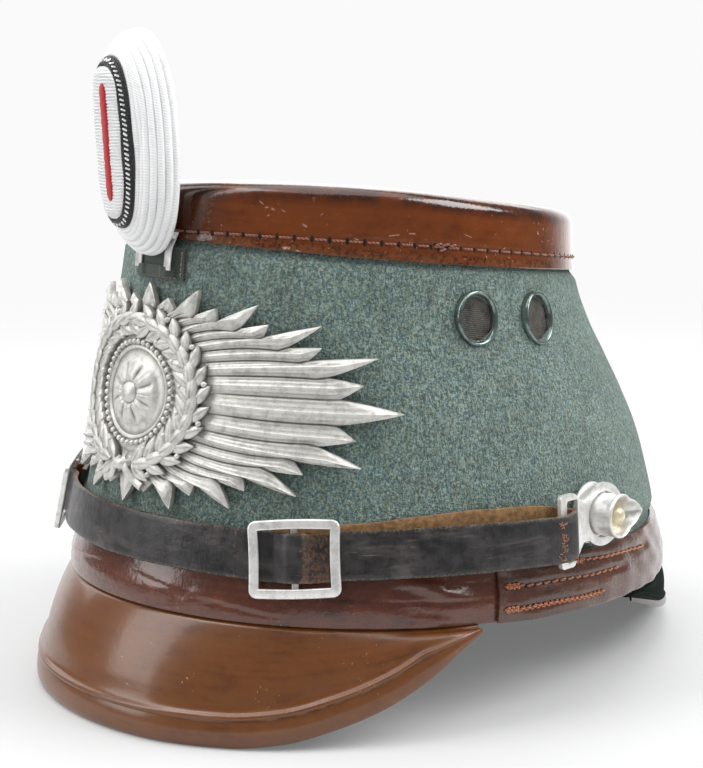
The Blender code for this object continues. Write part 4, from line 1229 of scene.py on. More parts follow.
def chin_strap(look):
    p, normal, up = strap_line()
    run = lengths(p)
    half, wide = STRAP_THICK / 2, STRAP_WIDE / 2
    # section: black face first, then the edges and the flesh side
    section = [(half * 0.55, -wide + 0.02), (half * 0.86, -wide + 0.22), (half, -wide + 0.75)]
    section += [(half, v) for v in np.linspace(-wide + 1.8, wide - 1.8, 9)]
    section += [(half, wide - 0.75), (half * 0.86, wide - 0.22), (half * 0.55, wide - 0.02)]
    section += [(-half * 0.45, wide - 0.02), (-half * 0.85, wide - 0.25), (-half, wide - 0.8)]
    section += [(-half, v) for v in np.linspace(wide - 1.8, -wide + 1.8, 9)]
    section += [(-half, -wide + 0.8), (-half * 0.85, -wide + 0.25), (-half * 0.45, -wide + 0.02)]
    section = np.array(section)
    face = np.where(section[:, 0] > 0.3 * half, 0.0, 1.0)
    wave = 0.10 * ripple(run / 13, np.zeros_like(run), 71, 6, 0.7, 2.2)
    stations = []
    for i in range(len(p)):
        edge = 1 + 0.010 * math.sin(run[i] / 9.0) + 0.006 * math.sin(run[i] / 2.7)
        n = section[:, 0] + wave[i] * 0
        v = section[:, 1] * edge
        cup = -0.10 * (section[:, 1] / wide) ** 2
        stations.append(p[i] + normal[i] * (n + cup)[:, None] + up[i] * v[:, None])
    middle = run[-1] / 2
    tone = np.zeros((len(p), len(section)))
    # scraped where the strap has rubbed on a buckle: a line before it and a strip inside it
    for centre, width, power in ((-1.0, 1.0, 0.0),):
        tone += power
    spot = np.abs(run - middle)
    buckle_at = float(np.interp(np.linalg.norm(p - buckle_frame(1)[0], axis=1).argmin(), np.arange(len(p)), run))
    from_buckle = np.minimum(np.abs(run - buckle_at), np.abs(run - (2 * middle - buckle_at)))
    signed = spot - abs(buckle_at - middle)
    tone += (np.exp(-(((signed + 18.0) / 0.7) ** 2)) * 0.8)[:, None]
    strip = ease(signed, 1.2, 1.9) * (1 - ease(signed, 10.0, 11.0))
    tone += (strip * 0.9)[:, None]
    tone *= (spot < abs(buckle_at - middle) + 30)[:, None]
    across = np.concatenate([section[:, 1], section[:1, 1]])
    build = Build()
    sweep(build, np.array(stations), False, 0, tone, along=run, around=across, third=face)
    return build.make("chin_strap_leather", look)


def strap_stitching(look):
    """Copper thread that closes the strap's fold at each end fitting."""
    p, normal, up = strap_line()
    run = lengths(p)
    build = Build()
    rng = np.random.default_rng(12)
    middle = run[-1] / 2
    # where the outer layer meets the turn, on both sides
    target = crown(83.4, 23.8, 8.4)
    at = run[np.linalg.norm(p - target, axis=1).argmin()]
    for sign in (1, -1):
        centre = middle + sign * (at - middle)
        for v in (5.0, 3.9, 1.0, -0.3, -2.0, -3.1, -5.2):
            for k in range(5):
                a = centre + rng.uniform(-0.9, 0.9)
                b = a + rng.uniform(-1.3, 1.3)
                v0, v1 = v + rng.uniform(-0.9, 0.9), v + rng.uniform(-0.9, 0.9)
                share = np.linspace(0, 1, 6)
                s, w = a + (b - a) * share, v0 + (v1 - v0) * share
                pos = np.stack([np.interp(s, run, p[:, c]) for c in range(3)], -1)
                nor = np.stack([np.interp(s, run, normal[:, c]) for c in range(3)], -1)
                ups = np.stack([np.interp(s, run, up[:, c]) for c in range(3)], -1)
                rise = STRAP_THICK / 2 - 0.12 + 0.22 * np.sin(np.pi * share)
                tube(build, pos + nor * rise[:, None] + ups * w[:, None], 0.17, 6, up=nor)
    return build.make("strap_stitching", look)


def slide_buckle(side, look):
    at = buckle_frame(side)
    wide, high, bar = BUCKLE_WIDE / 2, BUCKLE_HIGH / 2, 2.7
    build = Build()
    # frame: a rounded section carried round a softly bowed rectangle
    path = []
    w, h = wide - bar / 2, high - bar / 2
    for i, (x, y) in enumerate(((-w, -h), (w, -h), (w, h), (-w, h))):
        path.append((x, y))
    outline = rounded(path, 1.1, 6)
    dense = []
    for i, q in enumerate(outline):
        nxt = outline[(i + 1) % len(outline)]
        steps = max(1, int(np.linalg.norm(nxt - q) / 0.9))
        for k in range(steps):
            dense.append(q + (nxt - q) * k / steps)
    dense = np.array(dense)
    bow = 0.35 * np.cos(np.pi * dense[:, 0] / (2 * w)) * np.sign(dense[:, 1]) * (np.abs(dense[:, 1]) > h * 0.9)
    bow2 = -0.25 * np.cos(np.pi * dense[:, 1] / (2 * h)) * np.sign(dense[:, 0]) * (np.abs(dense[:, 0]) > w * 0.9)
    dense = dense + np.stack([bow2, bow], -1)
    tangent = np.roll(dense, -1, 0) - np.roll(dense, 1, 0)
    tangent /= np.linalg.norm(tangent, axis=1, keepdims=True)
    nx, ny = tangent[:, 1], -tangent[:, 0]
    section = rounded([(-bar / 2, -1.1), (bar / 2, -1.1), (bar / 2, 0.75), (-bar / 2, 1.1)], 0.55, 4)
    stations = np.stack(
        [
            dense[:, 0][:, None] + nx[:, None] * section[:, 0],
            dense[:, 1][:, None] + ny[:, None] * section[:, 0],
            np.repeat(section[:, 1][None], len(dense), 0),
        ],
        -1,
    )
    roll = math.radians(2.4)
    turn = np.array([[math.cos(roll), -math.sin(roll), 0], [math.sin(roll), math.cos(roll), 0], [0, 0, 1]])
    stations = stations @ turn.T
    stations[..., 0] *= side
    sweep(build, local(at, stations), True)
    # middle bar, behind the strap
    section = rounded([(-0.95, -1.6), (0.95, -1.6), (0.95, -0.35), (-0.95, -0.35)], 0.4, 3)
    ends = [-high + 1.2, -high + 2.4, 0, high - 2.4, high - 1.2]
    stations = np.array([[(x, y, z) for x, z in section] for y in ends]) @ turn.T
    stations[..., 0] *= side
    sweep(build, local(at, stations), False)
    word = "left" if side > 0 else "right"
    return build.make(f"buckle_{word}", look)


def side_post(side, looks):
    at = post_frame(side)
    build = Build()
    profile = [
        (0, -5.2), (2.9, -5.2), (3.3, -5.0), (3.4, -4.7), (3.3, -4.4), (2.0, -4.2), (1.9, -4.0), (1.9, 1.25),
        (8.9, 1.25), (9.15, 1.4), (9.2, 1.7), (9.05, 2.2), (8.5, 2.55), (7.4, 2.75), (6.5, 2.85), (6.32, 3.1),
        (6.3, 5.0), (6.3, 6.6), (5.9, 6.9), (0, 6.9),
    ]
    lathe(build, at, profile, 72)
    # open barrel whose mouth runs out to a pouring lip at the rear
    wall = np.array([
        (5.3, 5.6), (6.26, 5.6), (6.3, 8.0), (6.3, 10.6), (6.38, 11.3), (6.5, 11.8), (6.56, 12.2), (6.5, 12.55),
        (6.3, 12.8), (6.0, 12.85), (5.75, 12.7), (5.6, 12.35), (5.5, 11.6), (5.4, 9.0),
    ])
    turn = np.linspace(0, 2 * np.pi, 120, endpoint=False)
    away = np.abs((turn + np.pi) % (2 * np.pi) - np.pi)
    spout = 4.3 * np.clip(1 - away / 0.74, 0, 1) ** 1.15
    rise = np.clip((wall[:, 1] - 7.6) / 4.6, 0, 1) ** 1.4
    wide = wall[:, 0][None] + spout[:, None] * rise[None]
    stations = np.stack(
        [
            side * wide * np.cos(turn)[:, None],
            wide * np.sin(turn)[:, None],
            wall[:, 1][None] + 0.10 * spout[:, None] * rise[None],
        ],
        -1,
    )
    sweep(build, local(at, stations), True)
    # cream coloured stud and seat inside
    lathe(build, at, [(0, 7.4), (5.7, 7.4), (5.7, 9.1), (5.2, 9.3), (3.0, 9.25), (0, 9.25)], 48, 1)
    lathe(build, at, [(0, 8.8), (1.6, 8.8), (1.6, 9.5), (2.1, 9.8), (2.55, 10.5), (2.6, 11.2), (2.35, 12.0), (1.8, 12.6), (1.0, 12.95), (0, 13.05)], 32, 1)
    word = "left" if side > 0 else "right"
    return build.make(f"post_{word}", looks)


def strap_end(side, look):
    at = plate_frame(side)
    low, high = 5.0, 6.4
    ring = [(0.6 + 9.4 * math.cos(math.radians(a)), 9.4 * math.sin(math.radians(a))) for a in np.linspace(-133, 133, 57)]
    neck = rounded([ring[-1], (-8.6, 5.4), (-11.4, 7.2), (-12.6, 8.6), (-18.9, 8.6), (-18.9, -13.1), (-13.2, -13.1), (-11.6, -10.6), (-8.6, -6.4), ring[0]],
                   [0, 2.2, 2.2, 0.9, 1.3, 1.3, 0.9, 2.2, 2.4, 0], 5)
    outline = ring[1:-1] + [tuple(q) for q in neck]
    eye = [(0.6 + 6.95 * math.cos(math.radians(a)), 6.95 * math.sin(math.radians(a))) for a in np.arange(0, 360, 7.5)]
    slot = rounded([(-11.4, 6.7), (-16.3, 6.7), (-16.3, -11.6), (-11.8, -11.6)], 0.8, 4)

    def slab(points, z0, z1, name):
        n = len(points)
        build = Build()
        pts = [(x * side, y, z0) for x, y in points] + [(x * side, y, z1) for x, y in points]
        quads = [(i, n + i, n + (i + 1) % n, (i + 1) % n) for i in range(n)]
        build.add(local(at, np.array(pts)), quads, None, 0, 0.0, [(range(n), 0), (range(2 * n - 1, n - 1, -1), 0)])
        return build.make(name, look)

    word = "left" if side > 0 else "right"
    piece = slab(outline, low, high, f"end_fitting_{word}")
    tools = [slab(eye, low - 1, high + 1, "t1"), slab(slot, low - 1.5, high + 1.5, "t2")]
    for k, tool in enumerate(tools):
        modifier = piece.modifiers.new(f"cut{k}", "BOOLEAN")
        modifier.operation, modifier.solver, modifier.object = "DIFFERENCE", "EXACT", tool
    modifier = piece.modifiers.new("round", "BEVEL")
    modifier.width, modifier.segments, modifier.limit_method = 0.38 * MM, 3, "ANGLE"
    modifier.angle_limit = math.radians(50)
    apply_modifiers(piece)
    for tool in tools:
        bpy.data.objects.remove(tool, do_unlink=True)
    piece.data.polygons.foreach_set("use_smooth", np.ones(len(piece.data.polygons), bool))
    piece.data.set_sharp_from_angle(angle=math.radians(40))
    return piece


def vents(ring_look, gauze_look):
    made = []
    for side, word in ((1, "left"), (-1, "right")):
        for which, place_word in enumerate(("front", "rear")):
            at = list(vent_frame(side, which))
            # the rings lean a little to the rear of the felt's own slope
            lean = 0.09 if at[1][1] < 0 else -0.09
            at[1], at[3] = at[1] * math.cos(lean) + at[3] * math.sin(lean), at[3] * math.cos(lean) - at[1] * math.sin(lean)
            lean = 0.07
            at[2], at[3] = at[2] * math.cos(lean) + at[3] * math.sin(lean), at[3] * math.cos(lean) - at[2] * math.sin(lean)
            build = Build()
            profile = [
                (5.75, -3.6), (6.12, -3.6), (6.12, -0.75), (6.4, -0.8), (8.25, -0.8), (8.42, -0.6), (8.42, 0.28), (8.40, 0.62),
                (8.18, 1.02), (7.85, 1.30), (7.45, 1.44), (7.05, 1.45), (6.6, 1.32), (6.2, 1.08), (5.9, 0.75), (5.76, 0.4), (5.72, 0.0),
            ]
            profile = np.array(profile)
            profile[:, 0] = 6.6 + (profile[:, 0] - 5.72) * 0.56
            turn = np.linspace(0, 2 * np.pi, 72, endpoint=False)
            stations = np.stack(
                [
                    0.93 * profile[:, 0][None] * np.cos(turn)[:, None],
                    profile[:, 0][None] * np.sin(turn)[:, None],
                    np.repeat(profile[:, 1][None], 72, 0),
                ],
                -1,
            )
            sweep(build, local(at, stations), True)
            ring = build.make(f"grommet_{place_word}_{word}", ring_look)
            settle(ring, "vent_metal", f"vent_ring_{place_word}_{word}")
            build = Build()
            pitch, reach, wire = 0.56, 6.45, 0.15
            lines = np.arange(-11, 12) * pitch
            for way in (0, 1):
                for k, c in enumerate(lines):
                    if abs(c) > reach - 0.5:
                        continue
                    end = math.sqrt(reach**2 - c * c)
                    s = np.linspace(-end, end, max(6, int(4 * end / pitch)))
                    z = -0.75 + 0.35 * (1 - (s**2 + c * c) / reach**2)
                    weave = 0.13 * np.cos(math.pi * s / pitch + (k % 2) * math.pi + way * math.pi)
                    line = np.stack([s, np.full_like(s, c), z + weave] if way == 0 else [np.full_like(s, c), s, z + weave], -1)
                    tube(build, local(at, line), wire, 4, up=at[3])
            gauze = build.make(f"gauze_{place_word}_{word}", gauze_look)
            settle(gauze, "vent_gauze", f"vent_mesh_{place_word}_{word}")
            made += [ring, gauze]
    return made


# ------------------------------------------------------------------- badge
def arc_table():
    highs = np.arange(24.0, 99.0, 2.5)
    arcs = np.arange(-90.0, 90.1, 2.0)
    grid = np.linspace(-85, 85, 681)
    rows = []
    for high in highs:
        line = crown(grid, high, BADGE_OUT)
        step = np.hypot(*(np.diff(line[:, :2], axis=0).T))
        run = np.concatenate([[0], np.cumsum(step)])
        run -= run[340]
        rows.append(np.interp(arcs, run, grid))
    return highs, arcs, np.array(rows)


ARC_HIGHS, ARC_RUNS, ARC_ANGLES = arc_table()


def on_plate(x, y, z):
    """Badge coordinates, across, up and out, to a point."""
    high = BADGE_MID + np.asarray(y, float)
    i = np.clip((high - ARC_HIGHS[0]) / 2.5, 0, len(ARC_HIGHS) - 1.001)
    j = np.clip((np.asarray(x, float) - ARC_RUNS[0]) / 2.0, 0, len(ARC_RUNS) - 1.001)
    i0, j0 = i.astype(int), j.astype(int)
    fi, fj = i - i0, j - j0
    angle = (
        ARC_ANGLES[i0, j0] * (1 - fi) * (1 - fj)
        + ARC_ANGLES[i0 + 1, j0] * fi * (1 - fj)
        + ARC_ANGLES[i0, j0 + 1] * (1 - fi) * fj
        + ARC_ANGLES[i0 + 1, j0 + 1] * fi * fj
    )
    return crown(angle, high, BADGE_OUT + np.asarray(z, float))


def plate_turns(steps):
    grid = np.linspace(0, 2 * np.pi, 1441)
    x, y = BADGE_WIDE * np.cos(grid), BADGE_HIGH * np.sin(grid)
    run = np.concatenate([[0], np.cumsum(np.hypot(np.diff(x), np.diff(y)))])
    even = np.interp(np.arange(steps) / steps * run[-1], run, grid)
    return BADGE_WIDE * np.cos(even), BADGE_HIGH * np.sin(even)


def badge_plate(build):
    """Rayed plate: pointed bundles of flutes, long and short by turns."""
    per = 14
    steps = RAYS * per
    edge_x, edge_y = plate_turns(steps)
    place_on = np.arange(steps) / per
    nearest = np.round(place_on)
    c = place_on - nearest
    tooth = 1 - 2 * np.abs(c)
    longer = np.where(nearest.astype(int) % 2 == 0, 1.0, 0.88)
    share = 0.78 + (longer - 0.78) * tooth
    turn = np.arctan2(edge_y / BADGE_HIGH, edge_x / BADGE_WIDE)
    fs = np.concatenate([[0.004, 0.10, 0.20, 0.26, 0.30, 0.34], np.linspace(0.37, 0.985, 44), [1.0]])
    front, tones = [], []
    for f in fs:
        out = f * (1 - f**3 + share * f**3)
        x, y = out * edge_x, out * edge_y
        blend = max(0.0, min(1.0, (0.85 - f) / 0.5))
        x = x * (1 - blend) + f * 42.0 * np.cos(turn) * blend
        y = y * (1 - blend) + f * 42.0 * np.sin(turn) * blend
        fade = float(ease(f, 0.40, 0.60))
        tip = float(1 - ease(f, 0.90, 1.0))
        flute = np.abs(np.cos(c * np.pi * 5)) ** 0.7
        ridge = (tooth**0.8) * 1.15 + 0.42 * (flute - 0.5)
        long_ray = np.where(nearest.astype(int) % 2 == 0, 0.35, 0.0)
        # the valley between neighbouring rays is cut deep near the edge
        z = 2.25 - 0.75 * f + fade * (ridge * (0.65 + 0.35 * f) + long_ray * f - 0.35) * (0.35 + 0.65 * tip)
        if f < 0.42:
            z = np.full(steps, 2.3)
        z = np.maximum(z, 0.9)
        front.append(on_plate(x, y, z))
        valley = fade * np.clip(1 - tooth * 2.3, 0, 1) * 0.55 + fade * np.clip(0.45 - flute, 0, 1) * 0.8
        tones.append(np.broadcast_to(valley, (steps,)) * 0.9)
        last = (x, y)
    back = []
    for f in (1.0, 0.8, 0.6, 0.42, 0.25, 0.004):
        out = f * (1 - f**3 + share * f**3)
        x, y = out * edge_x, out * edge_y
        blend = max(0.0, min(1.0, (0.85 - f) / 0.5))
        x = x * (1 - blend) + f * 42.0 * np.cos(turn) * blend
        y = y * (1 - blend) + f * 42.0 * np.sin(turn) * blend
        back.append(on_plate(x, y, np.full(steps, 0.1)))
        tones.append(np.full(steps, 0.5))
    rings = np.array(front + back)
    sweep(build, rings, False, 0, np.array(tones))


def leaf(build, x, y, heading, length, width, base, lift, curl=0.6):
    """One laurel leaf lying on the plate, with a midrib and a drooping tip."""
    n, m = 13, 9
    s = np.linspace(0, 1, n)[:, None]
    t = np.linspace(-1, 1, m)[None, :]
    half = width / 2 * np.sin(np.pi * np.clip(s, 0.015, 0.985) ** 0.85) ** 0.8
    along = length * s + 0 * t
    across = half * t
    bend = 0.10 * length * s**2
    cx, sx = math.cos(heading), math.sin(heading)
    dome = (1 - np.abs(t) ** 1.8) * 0.62 * np.sqrt(np.sin(np.pi * np.clip(s, 0.02, 0.98)))
    rib = -0.30 * np.exp(-((t / 0.16) ** 2)) * (1 - s)
    side_rib = 0.07 * np.cos(s * 34 - np.abs(t) * 5) * (1 - np.abs(t))
    z = base + lift * np.sin(np.pi * 0.55 * (1 - s * curl)) + dome + rib + side_rib
    px = x + cx * along - sx * (across + bend)
    py = y + sx * along + cx * (across + bend)
    top = on_plate(px, py, z)
    under = on_plate(px, py, z * 0 + np.minimum(base - 0.6, z - 0.5))
    tone = np.concatenate([(0.35 * (np.abs(t) > 0.9) + 0.55 * np.exp(-((t / 0.14) ** 2)) * (1 - s * 0.6)), 0.9 + 0 * (s * t)], 1)
    loops = np.concatenate([top, under[:, ::-1]], 1)
    sweep(build, loops, False, 0, tone)


def ball(build, x, y, z, radius, sides=10, squash=1.0):
    rings = []
    turn = np.linspace(0, 2 * np.pi, sides, endpoint=False)
    for a in np.linspace(-80, 80, 7):
        r, h = radius * math.cos(math.radians(a)), radius * math.sin(math.radians(a)) * squash
        rings.append(on_plate(x + r * np.cos(turn), y + r * np.sin(turn), np.full(sides, z + h)))
    sweep(build, np.array(rings), False, 0, 0.0)


def badge(look):
    build = Build()
    badge_plate(build)
    rng = np.random.default_rng(3)
    # laurel wreath: two branches from the foot up to a gap at the head
    radius_x, radius_y = 22.0, 20.5
    for sign in (1, -1):
        spots = np.linspace(-80, 76, 13)
        stem = []
        for a in np.linspace(-92, 80, 60):
            t = math.radians(a)
            stem.append((sign * radius_x * math.cos(t), radius_y * math.sin(t)))
        stem = np.array(stem)
        tube(build, on_plate(stem[:, 0], stem[:, 1], np.full(60, 3.0)), 0.75, 8, up=None)
        for k, a in enumerate(spots):
            t = math.radians(a)
            x, y = sign * radius_x * math.cos(t), radius_y * math.sin(t)
            ahead = math.atan2(radius_y * math.cos(t), -sign * radius_x * math.sin(t))
            size = 8.6 - 0.10 * k + rng.uniform(-0.3, 0.3)
            for turn_by, shift, lift, scale in ((0.78, 0.2, 0.2, 1.0), (-0.78, 0.2, 0.2, 0.92), (0.0, 1.2, 1.0, 1.0)):
                h = ahead + turn_by * sign
                leaf(build, x + shift * math.cos(ahead), y + shift * math.sin(ahead), h, size * scale, 3.5, 3.0, 0.9 + lift)
            if k % 2 == 1:
                for sgn in (1, -1):
                    bx = x + math.cos(ahead + sgn * 1.9) * 4.0 + math.cos(ahead) * 2.0
                    by = y + math.sin(ahead + sgn * 1.9) * 4.0 + math.sin(ahead) * 2.0
                    ball(build, bx, by, 3.9, 0.85)
    # tie at the foot: a band and two short tails
    for x0, x1 in ((-3.4, -1.0), (3.4, 1.0)):
        line = spline([(x1 * 0.4, -19.0, 4.6), (x0 * 0.7, -21.5, 4.9), (x0 * 1.5, -24.6, 3.6), (x0 * 2.5, -26.2, 3.4)], 16)
        tube(build, on_plate(line[:, 0], line[:, 1], line[:, 2]), 1.25, 8, flat=0.45, up=np.array([0, -1.0, 0.2]))
    line = spline([(-2.6, -20.5, 3.4), (-1.4, -20.6, 5.4), (0, -20.6, 5.9), (1.4, -20.6, 5.4), (2.6, -20.5, 3.4)], 14)
    tube(build, on_plate(line[:, 0], line[:, 1], line[:, 2]), 1.5, 10, flat=0.55, up=np.array([0, -1.0, 0.0]))
    # middle: beaded edge, stippled field, rosette on a low dome
    for k in range(44):
        t = 2 * math.pi * k / 44
        ball(build, 14.6 * math.cos(t), 14.6 * math.sin(t), 3.3, 0.86, 10)
    turn = np.linspace(0, 2 * np.pi, 112, endpoint=False)
    rings, tones = [], []
    for r, z in ((13.6, 1.6), (13.6, 2.9), (13.3, 3.3), (12.9, 3.35), (12.5, 3.0), (12.3, 2.75), (11.0, 2.85), (10.2, 3.0), (9.7, 3.3), (9.3, 3.9),
                 (8.9, 4.2), (8.3, 4.35), (7.4, 4.6), (6.4, 4.95), (5.4, 5.2), (4.4, 5.35), (3.6, 5.2), (3.1, 4.9), (2.9, 5.1), (2.4, 5.8), (1.6, 6.25), (0.8, 6.42), (0.02, 6.45)):
        petals = 0.0
        if 3.0 < r < 9.3:
            lobes = np.abs(np.cos(turn * 4)) ** 0.6
            petals = (lobes - 0.7) * 0.85 * math.sin(math.pi * (r - 3.0) / 6.6)
            split = -0.35 * np.exp(-(((turn * 4 / np.pi) % 1.0 - 0.0) / 0.07) ** 2)
            petals = petals + split * 0.6
        rings.append(on_plate(r * np.cos(turn), r * np.sin(turn), np.full(112, z) + petals))
        tones.append(np.clip(-np.broadcast_to(petals, (112,)) * 1.3, 0, 0.7) + (0.6 if r in (12.3, 3.1) else 0.0))
    sweep(build, np.array(rings), False, 0, np.array(tones))
    # two fastening pins through the felt
    for x in (24.0, -24.0):
        at = frame_at(float(np.interp(x, ARC_RUNS, ARC_ANGLES[15])), BADGE_MID, 0.0)
        lathe(build, at, [(0, -6.4), (1.0, -6.4), (1.15, -6.1), (1.15, 2.2), (0, 2.2)], 20)
    return build.make("badge_casting", look, 46)


# ----------------------------------------------------------------- cockade
COCKADE_AT = (0.0, -87.9, 164.1)
COCKADE_LEAN = 2.0


def cockade_frame():
    a = math.radians(COCKADE_LEAN)
    up, outward = np.array([0, 0, 1.0]), np.array([0, -1.0, 0])
    return (
        np.array(COCKADE_AT),
        np.array([1.0, 0, 0]),
        up * math.cos(a) + outward * math.sin(a),
        outward * math.cos(a) - up * math.sin(a),
    )


def on_cockade(xyz):
    """Cockade coordinates to a point; the face leans forward more than the back."""
    xyz = np.array(xyz, float)
    xyz[..., 2] *= 1 + 0.0020 * xyz[..., 1]
    return local(cockade_frame(), xyz)


def oval(wide, high, steps=96, power=2.25):
    t = np.linspace(0, 2 * np.pi, steps * 2, endpoint=False)
    raw = np.stack(
        [
            wide / 2 * np.sign(np.cos(t)) * np.abs(np.cos(t)) ** (2 / power),
            high / 2 * np.sign(np.sin(t)) * np.abs(np.sin(t)) ** (2 / power),
        ],
        -1,
    )
    return spline(raw, steps, True)


def cockade_body(looks):
    out = cockade_frame()[3]
    build = Build()
    # core under the cords, and a cloth back
    rows = ((26.0, 58.6, -0.7, 0.0), (29.0, 61.2, -0.6, 0.0), (29.8, 62.0, 0.4, 0.0), (29.0, 61.2, 2.0, 0.0), (26.4, 58.2, 4.2, 0.2),
            (23.4, 55.0, 6.1, 0.3), (20.0, 51.6, 7.6, 0.5), (16.6, 48.4, 8.6, 0.6), (11.4, 42.4, 9.0, 0.6))
    rings = []
    for wide, high, deep, shift in rows:
        flat = oval(wide, high, 96)
        rings.append(np.stack([flat[:, 0], flat[:, 1] + shift, np.full(96, deep)], -1))
    sweep(build, on_cockade(rings), False, 0)
    for k in range(len(build.fans)):
        build.fans[k] = (build.fans[k][0], 1)
    # ridges of wound wire, each round the form
    for k, (wide, high, deep, shift, size) in enumerate(COCKADE_RIDGES):
        flat = oval(wide, high, 220)
        turn = np.linspace(0, 2 * np.pi, 220, endpoint=False)
        sway = 0.10 * np.sin(turn * 3 + k) + 0.07 * np.sin(turn * 7 + 2.1 * k)
        path = np.stack([flat[:, 0], flat[:, 1] + shift, deep + sway], -1)
        tube(build, on_cockade(path), size * (1 + 0.04 * np.sin(turn * 5 + k)), 14, True, 0, up=out)
    return build.make("cockade_bullion", looks)


# full width, full height, depth, shift up, radius
COCKADE_RIDGES = (
    (29.0, 61.6, 0.8, 0.0, 1.15),
    (28.2, 60.6, 2.8, 0.1, 1.2),
    (26.0, 58.2, 4.6, 0.2, 1.25),
    (23.4, 55.4, 6.3, 0.4, 1.25),
    (20.6, 52.6, 7.7, 0.5, 1.2),
    (18.6, 50.6, 8.3, 0.6, 1.15),
    (16.5, 48.6, 9.2, 0.7, 1.05),
)


def cockade_ring(looks):
    out = cockade_frame()[3]
    build = Build()
    for wide, high, deep, size in ((14.9, 46.6, 10.5, 0.62), (14.2, 46.0, 11.2, 0.58), (12.2, 43.9, 12.1, 0.66), (11.2, 42.9, 12.0, 0.6)):
        flat = oval(wide, high, 300, 2.6)
        path = np.stack([flat[:, 0], flat[:, 1] + 0.8, np.full(300, deep)], -1)
        tube(build, on_cockade(path), size, 8, True, 0, up=out)
    # light flecks laced over the groove between the two black strands
    flat = oval(13.6, 45.2, 800, 2.6)
    run = lengths(np.concatenate([flat, flat[:1]]))
    count = 76
    tangent = np.roll(flat, -1, 0) - np.roll(flat, 1, 0)
    tangent /= np.linalg.norm(tangent, axis=1, keepdims=True)
    normal = np.stack([tangent[:, 1], -tangent[:, 0]], -1)
    rng = np.random.default_rng(31)
    for k in range(count):
        for way in (1,):
            i = int(np.interp((k + (0.0 if way > 0 else 0.5)) / count * run[-1], run[:-1], np.arange(800))) % 800
            share = np.linspace(-1, 1, 5)
            reach = 0.46 + 0.12 * rng.uniform(-1, 1)
            side_way = share * reach
            slant = -0.34 * way + 0.12 * rng.uniform(-1, 1)
            x = flat[i] + normal[i] * side_way[:, None] + tangent[i] * (share * slant)[:, None]
            deep = 11.78 - 0.66 * side_way + 0.30 * (1 - share**2) + 0.05 * way
            tube(build, on_cockade(np.stack([x[:, 0], x[:, 1] + 0.8, deep], -1)), 0.30 + 0.06 * rng.uniform(), 5, False, 1, up=out)
    return build.make("cockade_cord", looks)


def cockade_centre(look):
    build = Build()
    n, m = 330, 34
    half_high, half_wide = 21.0, 6.0
    pitch = 0.90
    top, under = [], []
    for y in np.linspace(-1, 1, n):
        real = y * half_high
        w = half_wide * max(0.03, 1 - abs(y) ** 4.2) ** (1 / 2.4)
        xs = np.linspace(-1, 1, m)
        thread = abs(math.sin(math.pi * real / pitch)) ** 0.5
        k = math.floor(real / pitch)
        ragged = 1 + 0.030 * math.sin(k * 12.9898) * thread
        dome = 0.85 * (1 - np.abs(xs) ** 2.6)
        edge = np.clip((1 - np.abs(xs)) * 9, 0, 1) ** 0.5
        ends = min(1, (1 - abs(y)) * 10 + 0.1)
        z = 13.15 + (dome + 0.30 * thread) * edge * ends
        across = xs * w * ragged * (0.965 + 0.035 * thread)
        top.append(np.stack([across, np.full(m, real + 0.85), z], -1))
        low = 12.85 - 1.6 * (1 - np.abs(xs) ** 3)
        under.append(np.stack([across * 0.98, np.full(m, real + 0.85), low], -1))
    loops = np.concatenate([np.array(top), np.array(under)[:, ::-1]], 1)
    sweep(build, on_cockade(loops), False)
    # the stalk that fills the ring
    rows = ((9.6, 39.6, 9.2), (9.8, 40.0, 10.4), (9.8, 40.0, 12.0))
    rings = []
    for wide, high, deep in rows:
        flat = oval(wide, high, 64)
        rings.append(np.stack([flat[:, 0], flat[:, 1] + 0.6, np.full(64, deep)], -1))
    sweep(build, on_cockade(rings), False)
    return build.make("cockade_oval", look)


def cockade_bar(look):
    build = Build()
    loops = []
    for s in np.linspace(-1, 1, 110):
        y = s * 16.2 + 1.1
        w = 1.38 * max(0.05, 1 - abs(s) ** 16) ** 0.5 * (1 + 0.07 * math.sin(s * 41) + 0.05 * math.sin(s * 23) + 0.04 * math.sin(s * 97))
        w *= 1 - 0.10 * math.exp(-((s + 0.25) / 0.35) ** 2)
        drift = 0.10 * math.sin(s * 3.0)
        ring = []
        for a in np.linspace(0, 360, 14, endpoint=False):
            c, d = math.cos(math.radians(a)), math.sin(math.radians(a))
            ring.append((0.75 + drift + w * c, y, 14.25 + 0.66 * d * max(0.2, 1 - abs(s) ** 20)))
        loops.append(ring)
    sweep(build, on_cockade(loops), False)
    return build.make("cockade_stripe", look)


